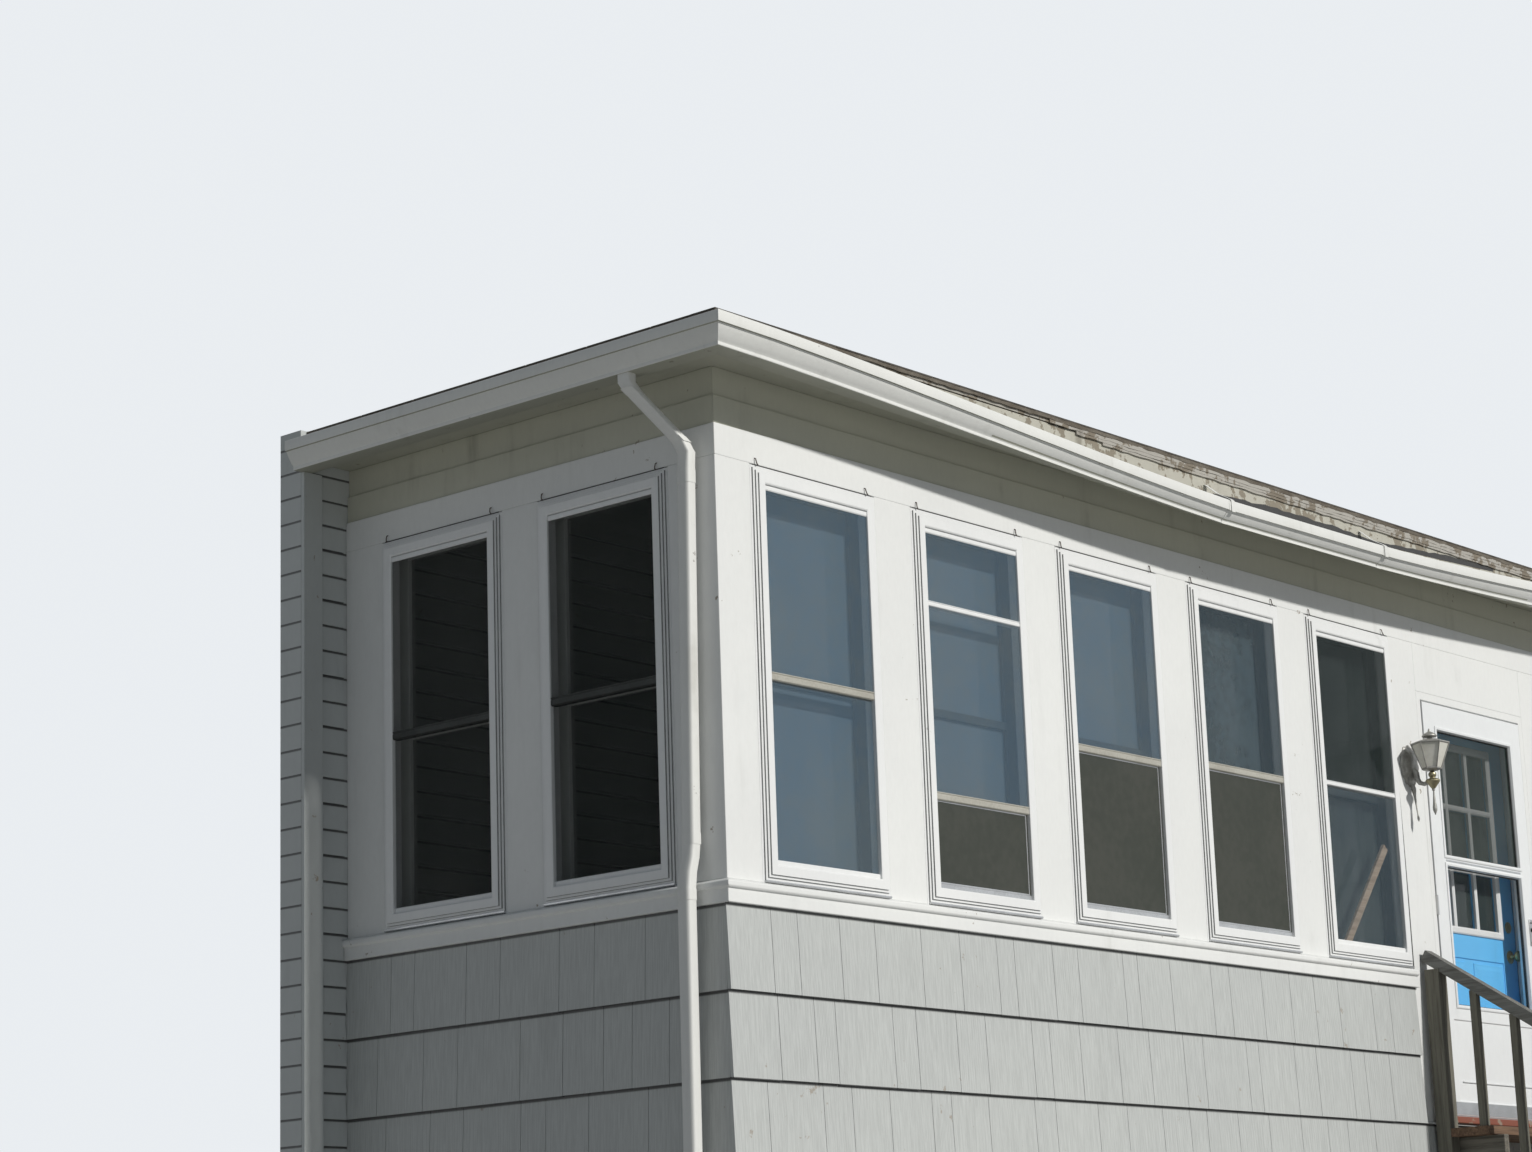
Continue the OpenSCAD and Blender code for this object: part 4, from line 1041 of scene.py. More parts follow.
# %% Dress the trim
CASING_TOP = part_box("front_frieze")[0][2] + 0.1185
SASH_BACK, ROOM_X, BOARD_EDGE = FRONT + 0.14, -LEFT - 0.13, 0.0025
for node in ("corner_posts", "door_posts", "front_mullions", "side_mullions", "front_sill",
             "far_sill", "left_sill", "right_sill", "door_header", "door_frame"):
    dress(node, "white_trim", BOARD_EDGE)
# Above the casing's top the frieze takes a darker paint: yellowed, and painted shade under the
# eaves.
for node in ("front_frieze", "left_frieze", "right_frieze"):
    repaint(dress(node, "white_trim", BOARD_EDGE), "frieze_paint",
            lambda face, corners: face.center.z > CASING_TOP)
# The front sashes get near-black paint as painted shade, seen through the storm panes.
repaint(dress("window_sashes", "inside_paint", 0.002), "sash_painted_shade",
        lambda face, corners: face.center.y < SASH_BACK and abs(face.center.x) < ROOM_X)
dress("house_corner_boards", "corner_paint", BOARD_EDGE)
dress("house_wall", "clapboard_paint", 0.0012)
dress("threshold", "threshold_paint", 0.004)
# The soffit's darker paint is partly painted shade: it faces down under the eaves.
dress("soffit", "eaves_paint_and_shade", 0.002)
dress("fascia_boards", "fascia_paint", 0.002)
print("trim is dressed")

# %% [markdown]
# ## Storm windows
# Over each wooden window sits an aluminium storm window: a white outer frame with stepped
# tracks, an upper and a lower pane in thin frames, and a rail where they meet. The steps are
# what draws the fine dark lines beside each pane, so they are swept as a real profile, and
# their risers are darkened with painted shade.

# %% Profiles of the storm frame, as (inwards, depth)
PROUD, STEP, MEMBER = 0.019, 0.010, 0.066
TRACK = [(0.0, 0.029), (0.0, 0.0)] + [(u, d) for i in (1, 2, 3) for u, d in (
    (i * STEP - 0.0007, -PROUD * (i - 1) / 3), (i * STEP, -PROUD * i / 3))] + [
    (MEMBER - 0.005, -PROUD), (MEMBER - 0.002, -PROUD + 0.0015), (MEMBER, -PROUD + 0.003),
    (MEMBER, 0.029)]
RAILS_FRONT, RAIL_SIDE = [0.747, 0.415, 0.709, 0.743, 0.773, 0.747], 0.747
RAIL_H, WHITE_RAIL_H = 0.032, 0.022
SECOND, FOURTH, LAST_TWO, SCREENED = 1, 3, (4, 5), (1, 2, 3)
LOW_SASH_BAR = 1.154
UPPER_Y, LOWER_Y = -0.010, -0.002
TOP_GAP = 0.004
TOP_SASH = [(UPPER_Y + 0.006, 0.0), (UPPER_Y - 0.003, -0.004), (UPPER_Y - 0.003, -0.018),
            (UPPER_Y, -0.022), (UPPER_Y + 0.006, -0.022)]
LOW_SASH = [(LOWER_Y + 0.008, 0.0), (LOWER_Y - 0.006, 0.0), (LOWER_Y - 0.006, 0.016),
            (LOWER_Y - 0.003, 0.020), (LOWER_Y + 0.008, 0.020)]
RAIL = [(0.019, -0.5), (-0.010, -0.5), (-0.014, -0.38), (-0.014, 0.10), (-0.0115, 0.16),
        (-0.0115, 0.30), (-0.014, 0.34), (-0.014, 0.46), (-0.010, 0.5), (0.019, 0.5)]
SCREEN_FRAME = [(0.0, 0.006), (0.0, -0.004), (0.005, -0.004), (0.005, 0.006)]
SCREEN_SIDE, SCREEN_LOW = 0.010, 0.020


def storm_window(x, w, rail, put, frames, rails, bar=0.0, white_rail=False, metal=None):
    """Draws one window's frame, the sash members that show, and its rails."""
    z0, z1 = WIN_Z, WIN_Z + WIN_H - TOP_GAP
    near, far = x + MEMBER, x + w - MEMBER

    def member(piece, outline, z, tall=1.0):
        """A level bar from side to side. Its outline is (depth, height)."""
        piece.sweep([[(sx, d, z + t * tall) for d, t in outline] for sx in (near, far)], put)

    frames.frame(x, x + w, z0, z1, TRACK, put)
    member(frames, TOP_SASH, z1 - MEMBER)
    member(metal or frames, LOW_SASH, z0 + MEMBER)
    if white_rail:
        member(frames, RAIL, z0 + rail, WHITE_RAIL_H)
    else:
        member(rails, RAIL, z0 + rail, RAIL_H)
    if bar:
        member(frames, RAIL, z0 + bar, WHITE_RAIL_H)


print("track profile of", len(TRACK), "points")

# %% [markdown]
# The windows differ, as old ones do. Their meeting rails stand at different heights, three
# lower sashes are bare metal round an insect screen, the last two have white rails, and one
# holds an extra bar. The front's white frames are one piece, those of both sides are another,
# and so are all rails of a kind.

# %% Make the storm windows on three walls
front_frames, side_frames = Piece("frame_enamel"), Piece("frame_enamel")
almond_rails, bare_sashes = Piece("rail_almond"), Piece("mill_aluminium")
side_rails = Piece("side_rail_shade")
for i, x in enumerate(FRONT_XS):
    storm_window(x, FRONT_W, RAILS_FRONT[i], on_front, front_frames, almond_rails,
                 bar=LOW_SASH_BAR if i == SECOND else 0.0, white_rail=i in LAST_TWO,
                 metal=bare_sashes if i in SCREENED else None)
for put in (on_left, on_right):
    for x in SIDE_XS:
        storm_window(x, SIDE_W, RAIL_SIDE, put, side_frames, side_rails)
for i in SCREENED:
    x, top = FRONT_XS[i], WIN_Z + RAILS_FRONT[i] - RAIL_H / 2
    bare_sashes.frame(x + MEMBER + SCREEN_SIDE, x + FRONT_W - MEMBER - SCREEN_SIDE,
                      WIN_Z + MEMBER + SCREEN_LOW, top, SCREEN_FRAME, on_front)
NEARLY = 0.0004


def is_riser(face, corners):
    """The steps' risers face away from the light: a darker grey on them is painted shade, and draws
    the grey lines.
    """
    spread = sorted(max(c) - min(c) for c in zip(*corners))
    return abs(spread[1] - PROUD / 3) < NEARLY


repaint(front_frames.finish("front_storm_window_frames", PORCH, "storm_frame",
                            "front_storm_frames", bevel=0.0008), "riser_painted_shade", is_riser)
almond_rails.finish("front_meeting_rails", PORCH, "storm_frame", bevel=0.0006)
bare_sashes.finish("screen_frames", PORCH, "storm_frame", bevel=0.0004)
repaint(side_frames.finish("side_storm_window_frames", PORCH, "storm_frame",
                           "side_storm_frames", bevel=0.0008), "riser_painted_shade", is_riser)
side_rails.finish("side_meeting_rails", PORCH, "storm_frame", bevel=0.0006)
print("storm windows", len(WINDOWS))

# %% [markdown]
# ## Panes and screens
# The front panes carry a pale, dusty painted reflection of the sky, the last ones and the side
# ones are darker with painted shade, and three lower halves hold a dark insect screen. Each kind
# of pane is one piece.

# %% Panes
PANE_INSET = MEMBER - 0.002


def panes(name, material, slot, rows, *stands_for, thick=0.003):
    piece = Piece(material)
    for put, x, w, z0, z1, depth in rows:
        piece.box(x + PANE_INSET, x + w - PANE_INSET, depth, depth + thick, WIN_Z + z0,
                  WIN_Z + z1, put)
    return piece.finish(name, PORCH, slot, *stands_for)


LOW_END, TOP_END = MEMBER + 0.010, WIN_H - TOP_GAP - MEMBER - 0.010
LAP = 0.008
sky, dim, dark, screens, clear = [], [], [], [], []
for i, (put, x, w) in enumerate(WINDOWS):
    side = put is not on_front
    rail = RAIL_SIDE if side else RAILS_FRONT[i]
    upper = dark if side else dim if i in LAST_TWO else clear if i == FOURTH else sky
    lower = dark if side else screens if i in SCREENED else clear if i in LAST_TWO else sky
    upper.append((put, x, w, rail + LAP, TOP_END, UPPER_Y))
    lower.append((put, x, w, LOW_END, rail - LAP, LOWER_Y))
for name, material, rows in (("front_sky_panes", "sky_glass", sky),
                             ("front_dim_panes", "dim_glass", dim),
                             ("front_clear_panes", "stick_glass", clear),
                             ("side_dark_panes", "dark_glass", dark)):
    panes(name, material, "window_glass", rows, "storm_glass")
panes("lower_insect_screens", "insect_screen", "screen_mesh", screens, "window_screens",
      thick=0.0012)
print("panes", len(sky), len(dim), len(dark), len(clear), "screens", len(screens))

# %% [markdown]
# Behind each storm window the old wooden sashes hold panes of their own. The first three on
# the front carry a painted reflection of the sky too, the fourth a darker painted reflection,
# and the rest are dim with painted shade.

# %% Panes of the wooden sashes
# Kind 0 is a painted sky reflection, 3 a darker painted reflection, 1 and 2 painted shade.
inner = Piece("inner_sky", "inner_dim", "inner_dark", "inner_dark_reflection")
INNER_KINDS = (0, 0, 0, 3, 1, 1, 2, 2, 2, 2)
SASH, HALF_RAIL, INNER_Y, INNER_T = 0.066, 0.016, 0.092, 0.003
for (put, x, w), kind in zip(WINDOWS, INNER_KINDS):
    for z0, z1 in ((SASH, WIN_H / 2 - HALF_RAIL), (WIN_H / 2 + HALF_RAIL, WIN_H - SASH)):
        inner.box(x + SASH, x + w - SASH, INNER_Y, INNER_Y + INNER_T, WIN_Z + z0, WIN_Z + z1,
                  put, kind)
inner.finish("inner_window_panes", PORCH, "inner_glass", "sash_glass")
print("inner panes", 2 * len(WINDOWS))

# %% [markdown]
# ## Small fittings round the windows
# Over each storm window two wire hooks hold its top corners, and below it a grey strip
# closes the gap to the sill. The hooks are a row of copies of one bent wire. Along each
# window's top edge a thin dark sliver is a painted shadow, and beside the fifth window a dark
# sliver is the painted shade inside an open joint.

# %% Hooks, strips and painted shade lines
HOOK_R, HOOK_IN, HOOK_OFF, HOOK_DROP = 0.0023, 0.030, 0.085, 0.001
STRIP_IN, SLIVER_IN, SLIVER_TOP, SLIVER_LOW = 0.008, 0.016, 0.0003, 0.0035
hook_path = [(0, 0.002, 0.024), (0, -0.006, 0.021), (0, -0.008, 0.010), (0.002, -0.009, 0.001),
             (0.007, -0.009, -0.002)]
wire_hook = Piece()
wire_hook.sweep(tapered_rod(hook_path, [HOOK_R] * len(hook_path), 6))
hook = wire_hook.mesh("hook")
strip_outline = ((0.0, 0.0005), (-0.010, 0.0005), (-0.013, 0.004), (-0.013, 0.0092),
                 (-0.002, 0.0095))
hooks, strips, slivers = [], Piece("mill_aluminium"), Piece("dark_rubber")
for put, x, w in WINDOWS:
    pair = grown("hooks", ROW, hook, {"Count": 2, "Step": (w - HOOK_OFF, 0.0, 0.0),
                 "Start": (x + HOOK_IN, 0.0, WIN_Z + WIN_H - HOOK_DROP), "Sway": 0.25,
                 "Seed": int(x * 100), "Finish": MADE["rusty_nail"]})
    hooks.append(moved_mesh(pair, put))
    strips.sweep([[(sx, d, WIN_Z + t) for d, t in strip_outline]
                  for sx in (x + STRIP_IN, x + w - STRIP_IN)], put)
    # Painted shadow: a dark sliver along each window's top edge.
    slivers.box(x + SLIVER_IN, x + w - SLIVER_IN, -0.0008, 0.0005, WIN_Z + WIN_H - SLIVER_LOW,
                WIN_Z + WIN_H - SLIVER_TOP, put)
settle("storm_window_hooks", join_meshes("storm_window_hooks", hooks), PORCH, "storm_frame")
strips.finish("storm_window_strips", PORCH, "storm_frame", bevel=0.0005)
# Painted shade: a dark sliver for the shade inside the open joint beside the fifth window.
gap, gap_x = Piece("dark_rubber"), FRONT_XS[4] + FRONT_W
gap_outline = ((0, 0.001), (0, -0.0012), (1, -0.0012), (1, 0.001))
gap_widths = ((0.0, 0.010), (0.30, 0.009), (0.62, 0.005), (0.80, 0.001))
gap.sweep([[(gap_x + a * wide, d, WIN_Z + z) for a, d in gap_outline]
           for z, wide in gap_widths], on_front)
gap.finish("open_joint_shade_by_fifth_window", PORCH, "storm_frame")
slivers.finish("painted_shadow_over_windows", PORCH, "storm_frame")
print("hooks", 2 * len(hooks), "strips", len(WINDOWS))

# %% [markdown]
# ## The storm door
# The outer leaf is a white aluminium door with two lights over a plain panel. Beads hold the
# panes, two thin bars with a grey gap make its middle rail, and the bottom is one flat sheet
# behind a metal sweep. Everything here rides on the storm door's body, so that it swings with
# the leaf.

# %% Storm door leaf, beads and panes
STORM_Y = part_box("storm_door")[0][1] - FRONT
STORM_T, STILE = 0.032, 0.106
PANE_LAP, PANE_NEAR, PANE_FAR = 0.004, 0.0145, 0.0175
LIGHTS = [(0.495, 1.138), (1.182, 1.772)]
dress("storm_door", "door_enamel", 0.003, STORM_LEAF)


def on_leaf(x, depth, z):
    return on_front(LEAF_X + x, depth, LEAF_Z + z)


BEAD = [(-0.012, 0.0), (-0.012, -0.004), (-0.006, -0.006), (0.002, -0.005), (0.006, 0.006),
        (0.006, 0.012), (0.0, 0.012)]
SEAL = [(0.004, 0.010), (0.004, 0.022), (0.009, 0.022), (0.009, 0.010)]
beads, glass = Piece("door_enamel", "dark_rubber"), Piece("door_lower", "door_upper")
for kind, (z0, z1) in enumerate(LIGHTS):
    for side, face in ((1, STORM_Y), (-1, STORM_Y + STORM_T)):
        beads.frame(STILE, LEAF_W - STILE, z0, z1, [(u, face + side * v) for u, v in BEAD],
                    on_leaf)
    beads.frame(STILE, LEAF_W - STILE, z0, z1, [(u, STORM_Y + v) for u, v in SEAL], on_leaf, 1)
    glass.box(STILE + PANE_LAP, LEAF_W - STILE - PANE_LAP, STORM_Y + PANE_NEAR,
              STORM_Y + PANE_FAR, z0 + PANE_LAP, z1 - PANE_LAP, on_leaf, kind)
beads.finish("storm_door_beads", STORM_LEAF, "door_enamel", bevel=0.0006)
glass.finish("storm_door_panes", STORM_LEAF, "door_glass", "storm_door_glass")
middle = (LIGHTS[0][1] + LIGHTS[1][0]) / 2
pressed = Piece("door_enamel", "mill_aluminium")
for inset, y0, y1, z0, z1, kind in ((STILE, -0.0015, 0.001, 0.150, 0.156, 0),
                                    (0.01, -0.0015, 0.0, 0.004, 0.060, 1),
                                    (0.02, 0.004, 0.024, -0.0055, 0.003, 1),
                                    (STILE, -0.0022, 0.001, middle - 0.004, middle + 0.004, 1)):
    pressed.box(inset, LEAF_W - inset, STORM_Y + y0, STORM_Y + y1, z0, z1, on_leaf, kind)
pressed.finish("storm_door_panel", STORM_LEAF, "door_enamel", bevel=0.0008)
print("storm door: beads", len(beads.faces), "faces, sheets", len(pressed.faces), "faces")

# %% [markdown]
# The storm door's handle is a pull with a thumb button on a plate. The grip is a bent rod,
# swept in the same way as the wire hooks, and the button is turned.

# %% Storm door handle
HANDLE_X, HANDLE_Z = LEAF_W - 0.052, APRON_Z + 0.33 - LEAF_Z
GRIP_R, BUTTON_UP = 0.0055, 0.012
handle = Piece("steel", "dark_rubber")
PLATE_W, PLATE_L, PLATE_T = 0.013, 0.062, 0.006
plate = [(-PLATE_W, -PLATE_L), (PLATE_W, -PLATE_L), (PLATE_W, PLATE_L), (-PLATE_W, PLATE_L)]
handle.sweep([[(HANDLE_X + px, d, HANDLE_Z + pz) for px, pz in plate]
              for d in (STORM_Y, STORM_Y - PLATE_T)], on_leaf)
grip_path = [(0.0, -0.005, 0.048), (0.0, -0.024, 0.046), (0.0, -0.036, 0.034),
             (0.0, -0.040, 0.0), (0.0, -0.036, -0.034), (0.0, -0.024, -0.046),
             (0.0, -0.005, -0.048)]
grip = [(HANDLE_X + a, STORM_Y + b, HANDLE_Z + c) for a, b, c in grip_path]
handle.sweep(tapered_rod(grip, [GRIP_R] * len(grip), 10), on_leaf)
handle.lathe([(0, 0), (0.009, 0), (0.009, -0.010), (0.007, -0.013), (0, -0.013)],
             (HANDLE_X, STORM_Y - PLATE_T, HANDLE_Z + BUTTON_UP), on_leaf, 1, 14, axis="y")
handle.finish("storm_door_pull", STORM_LEAF, "hinge_metal", "storm_door_handle", bevel=0.001,
              smooth=40)
print("pull", len(handle.faces), "faces")

# %% [markdown]
# ## The entry door
# Behind the storm door hangs a bright blue wooden door. White mouldings frame its nine panes,
# three by three, on both sides of the leaf. The outline of a moulding is drawn once, and
# turned round for the inside.

# %% Entry door and its white mouldings
ENTRY_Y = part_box("entry_door")[0][1] - FRONT
ENTRY_T = 0.044
LITE_W, LITE_ROW, LITE_BAR = 0.600, 0.288, 0.022
LITE_X = (LEAF_W - LITE_W) / 2
LITE_Z = APRON_Z + 0.320 - LEAF_Z + LITE_BAR / 2
LITE_COL = (LITE_W - 2 * LITE_BAR) / 3
dress("entry_door", "door_blue", 0.0025, ENTRY_LEAF)
DOOR_SIDES = ((1, ENTRY_Y), (-1, ENTRY_Y + ENTRY_T))
z_high = LITE_Z + 3 * LITE_ROW - LITE_BAR
moulding = [(-0.030, 0.0), (-0.030, -0.006), (-0.024, -0.010), (-0.006, -0.010),
            (0.004, -0.003), (0.004, 0.012), (0.0, 0.012)]
bar = [(-0.5, 0.010), (-0.5, -0.002), (-0.2, -0.007), (0.2, -0.007), (0.5, -0.002),
       (0.5, 0.010)]
BAR_W = LITE_BAR + 0.004
lights = Piece("frame_enamel")
for side, face in DOOR_SIDES:
    lights.frame(LITE_X, LITE_X + LITE_W, LITE_Z, z_high,
                 [(u, face + side * v) for u, v in moulding], on_leaf)
    for i in (1, 2):
        cx = LITE_X + i * (LITE_COL + LITE_BAR) - LITE_BAR / 2
        lights.sweep([[(cx + a * BAR_W, face + side * b, z) for a, b in bar]
                      for z in (LITE_Z, z_high)], on_leaf)
        cz = LITE_Z + i * LITE_ROW - LITE_BAR / 2
        lights.sweep([[(x, face + side * b * 0.98, cz + a * BAR_W) for a, b in bar]
                      for x in (LITE_X, LITE_X + LITE_W)], on_leaf)
lights.finish("entry_door_light_frame", ENTRY_LEAF, "door_enamel", bevel=0.0006)
print("mouldings", len(lights.faces), "faces")

# %% [markdown]
# Two raised panels fill the lower part, each a field that stands out inside a sunk, bevelled
# edge. Nine panes fill the upper part. The knob and the lock over it are turned brass.

# %% Panels, panes and knobs
EDGE_STILE, MID_STILE, INSET, PANEL_Z0, PANEL_Z1 = 0.13, 0.05, 0.012, 0.205, LITE_Z - 0.155
panel_w = (LEAF_W - 2 * EDGE_STILE - MID_STILE) / 2
raised = [(0.0, 0.0062), (0.004, 0.001), (0.014, 0.001), (0.030, -0.0015), (0.060, -0.0015),
          (0.060, 0.0062)]
panels = Piece("door_blue")
for x0 in (EDGE_STILE, EDGE_STILE + panel_w + MID_STILE):
    panels.frame(x0 + INSET, x0 + panel_w - INSET, PANEL_Z0, PANEL_Z1,
                 [(u, ENTRY_Y + v) for u, v in raised], on_leaf)
    panels.box(x0 + 0.070, x0 + panel_w - 0.070, ENTRY_Y - 0.0012, ENTRY_Y + 0.0062,
               PANEL_Z0 + 0.059, PANEL_Z1 - 0.059, on_leaf)
panels.finish("entry_door_raised_panels", ENTRY_LEAF, "blue_paint", bevel=0.0012)
LITE_LAP, LITE_NEAR, LITE_FAR = 0.002, 0.0205, 0.0235
pane = Piece("entry_pane")
for i in range(3):
    for j in range(3):
        x0, z0 = LITE_X + i * (LITE_COL + LITE_BAR), LITE_Z + j * LITE_ROW
        pane.box(x0 - LITE_LAP, x0 + LITE_COL + LITE_LAP, ENTRY_Y + LITE_NEAR,
                 ENTRY_Y + LITE_FAR, z0 - LITE_LAP, z0 + LITE_ROW - LITE_BAR + LITE_LAP,
                 on_leaf)
pane.finish("entry_door_panes", ENTRY_LEAF, "door_glass", "entry_door_glass")
KNOB_X, KNOB_Z, LOCK_UP = LEAF_W - 0.066, APRON_Z + 0.225 - LEAF_Z, 0.14
knob_outline = [(0, 0.0), (0.031, 0.0), (0.031, -0.003), (0.027, -0.006), (0.012, -0.008),
                (0.0105, -0.014), (0.0105, -0.024), (0.017, -0.029), (0.0245, -0.037),
                (0.026, -0.044), (0.024, -0.051), (0.016, -0.0565), (0, -0.058)]
lock_outline = [(0, 0), (0.027, 0), (0.027, -0.005), (0.019, -0.010), (0, -0.010)]
knobs = Piece("old_brass")
for side, face in DOOR_SIDES:
    for outline, up, steps in ((knob_outline, 0.0, 24), (lock_outline, LOCK_UP, 20)):
        knobs.lathe([(r, side * a) for r, a in outline], (KNOB_X, face, KNOB_Z + up), on_leaf,
                    0, steps, axis="y")
knobs.finish("entry_door_knobs", ENTRY_LEAF, "brass_metal", "entry_door_knob", smooth=35)
dress("storm_door_hinges", "steel", 0.0, PORCH)
dress("entry_door_hinges", "old_brass", 0.0, PORCH)
print("knobs", len(knobs.faces), "faces")

# %% [markdown]
# ## The stick
# Behind the lower pane of the fifth window a pale wooden stick leans in the corner of the
# frame, holding the inner sash shut.

# %% A leaning stick
stick = Piece("stick_wood")
(stick_x0, stick_z0), (stick_x1, stick_z1) = (4.045, 0.118), (4.462, 0.620)
lean = math.atan2(stick_z1 - stick_z0, stick_x1 - stick_x0)
half_w, half_t, stick_y = 0.019, 0.008, 0.016
section = [(-half_w, -half_t), (half_w, -half_t), (half_w, half_t), (-half_w, half_t)]
stick.sweep([[(sx - a * math.sin(lean), stick_y + b, APRON_Z + sz + a * math.cos(lean))
              for a, b in section] for sx, sz in ((stick_x0, stick_z0), (stick_x1, stick_z1))],
            on_front)
stick.finish("leaning_stick", PORCH, "stair_wood", bevel=0.002)
print("stick leans", round(math.degrees(lean)), "degrees")

# %% [markdown]
# ## The lantern
# A wall lantern of worn pewter hangs beside the door. Its parts are turned or cast, so a lathe
# draws most of them: with six steps for the panes, the rim and the cap, and with many for the
# round bowl and finials. The back plate is a scalloped dome, drawn as rings that shrink as
# they rise from the wall. A tail hangs below it, and a scroll carries the lamp.

# %% Back plate, tail and scroll
LIGHT_X, LIGHT_Z, LIGHT_OUT = DOOR_X - 0.115, APRON_Z + 1.014, 0.118
LAMP_Z = LIGHT_Z - 0.030
lantern = Piece("lamp_pewter", "lamp_brass")
plate_rings, DOME_POINTS, DOME_W, DOME_H = [], 60, 0.078, 0.094
for size, out in ((1.0, 0.0), (1.0, -0.005), (0.94, -0.009), (0.82, -0.013), (0.76, -0.0135),
                  (0.70, -0.017), (0.52, -0.023), (0.30, -0.026), (0.06, -0.027)):
    ring = []
    for k in range(DOME_POINTS):
        angle = 2 * math.pi * k / DOME_POINTS
        scallop = 1 + (0.045 if size > 0.6 else 0) * math.cos(12 * angle)
        waist = 1.0 - 0.10 * max(0.0, -math.sin(angle))
        ring.append((LIGHT_X + DOME_W * size * scallop * waist * math.cos(angle), out,
                     LIGHT_Z + DOME_H * size * scallop * math.sin(angle)))
    plate_rings.append(ring)
lantern.sweep(plate_rings, on_front)
tail = [(0, -0.010, -0.084), (0, -0.013, -0.092), (0, -0.016, -0.104), (0, -0.018, -0.118),
        (0, -0.020, -0.142), (0, -0.024, -0.185), (0, -0.028, -0.225), (0, -0.030, -0.246),
        (0, -0.031, -0.258)]
scroll = [(0, -0.022, -0.020), (0, -0.036, -0.040), (0, -0.040, -0.064), (0, -0.052, -0.084),
          (0, -0.074, -0.092), (0, -0.094, -0.086), (0, -0.112, -0.076)]
for path, radii in ((tail, [0.007, 0.009, 0.0115, 0.010, 0.006, 0.0035, 0.0030, 0.006, 0.0015]),
                    (scroll, [0.016, 0.015, 0.013, 0.011, 0.010, 0.009, 0.009])):
    lantern.sweep(tapered_rod([(LIGHT_X + a, b, LIGHT_Z + c) for a, b, c in path], radii),
                  on_front)
print("back plate, tail and scroll", len(lantern.faces), "faces")

# %% [markdown]
# The lamp itself is turned round one upright axis. From below: the long finial, the bowl, the
# six-sided pan, the rim and cap over the panes, and the top finial. Ribs stand in the corners.

# %% Bowl, rim, cap and ribs
AXIS = (LIGHT_X, -LIGHT_OUT, LAMP_Z)
lantern.lathe([(0, -0.210), (0.002, -0.208), (0.004, -0.203), (0.010, -0.188), (0.0105, -0.176),
               (0.007, -0.150), (0.004, -0.112), (0.0035, -0.100), (0.007, -0.097),
               (0.007, -0.090), (0, -0.090)], AXIS, on_front, 0, 14)
lantern.lathe([(0, -0.092), (0.009, -0.088), (0.022, -0.070), (0.033, -0.056), (0.033, -0.051),
               (0.028, -0.046), (0.013, -0.041), (0.012, -0.038), (0.0175, -0.031),
               (0.0185, -0.024), (0.0165, -0.017), (0.009, -0.010), (0, -0.008)], AXIS, on_front,
              1, 20)
lantern.lathe([(0, -0.009), (0.016, -0.008), (0.040, -0.004), (0.0455, 0.0), (0.0455, 0.006),
               (0, 0.006)], AXIS, on_front, 0, 6)
lantern.lathe([(0, 0.113), (0.083, 0.113), (0.0885, 0.116), (0.0885, 0.121), (0.074, 0.126),
               (0.056, 0.131), (0.031, 0.137), (0.012, 0.140), (0, 0.141)], AXIS, on_front, 0, 6)
lantern.lathe([(0, 0.138), (0.0115, 0.139), (0.0105, 0.147), (0.030, 0.1475), (0.0345, 0.151),
               (0.033, 0.156), (0.024, 0.164), (0.012, 0.170), (0.0065, 0.173), (0.0055, 0.177),
               (0.004, 0.183), (0.0015, 0.1865), (0, 0.187)], AXIS, on_front, 0, 20)
for k in range(6):
    angle = math.radians(60 * k)
    ends = [(LIGHT_X + r * math.cos(angle), -LIGHT_OUT + r * math.sin(angle), LAMP_Z + h)
            for r, h in ((0.0435, 0.003), (0.0845, 0.115))]
    lantern.sweep(tapered_rod(ends, [0.0028, 0.0028], 8), on_front)
lantern.finish("lantern_metal", PORCH, "lamp_metal", "porch_light", smooth=30)
lamp_panes = Piece("frosted_pane")
lamp_panes.lathe([(0, 0.006), (0.041, 0.006), (0.0815, 0.113), (0, 0.113)], AXIS, on_front, 0, 6)
lamp_panes.finish("lantern_panes", PORCH, "lamp_glass", "porch_light_glass")
print("lantern", len(lantern.faces), "faces")

# %% [markdown]
# ## Gutters
# The gutters are sheet aluminium with a rolled lip over an ogee face. The front one has
# dropped in its middle and tipped forward, and is spliced in two places. One profile with a
# real sheet thickness is swept along the eaves, through stations that follow the sag.

# %% The gutter's profile, as (out from its back, height from its rim)
SHEET = 0.0016
GUTTER_SKIN = [(0.0, 0.0), (0.0, -0.111), (0.002, -0.112), (0.082, -0.112), (0.084, -0.110),
               (0.084, -0.099), (0.087, -0.094), (0.093, -0.088), (0.101, -0.077),
               (0.109, -0.064), (0.114, -0.055), (0.117, -0.0475), (0.119, -0.0440),
               (0.1275, -0.0425), (0.128, -0.040), (0.128, -0.006), (0.1265, -0.0015), (0.123, 0.0),
               (0.119, -0.0015), (0.117, -0.006), (0.118, -0.012)]


def offset_outline(points, by):
    """A copy of an open outline, shifted to its left by a distance."""
    moved = []
    for i, (a, b) in enumerate(points):
        before, after = points[max(i - 1, 0)], points[min(i + 1, len(points) - 1)]
        da, db = after[0] - before[0], after[1] - before[1]
        size = math.hypot(da, db)
        moved.append((a - by * db / size, b + by * da / size))
    return moved


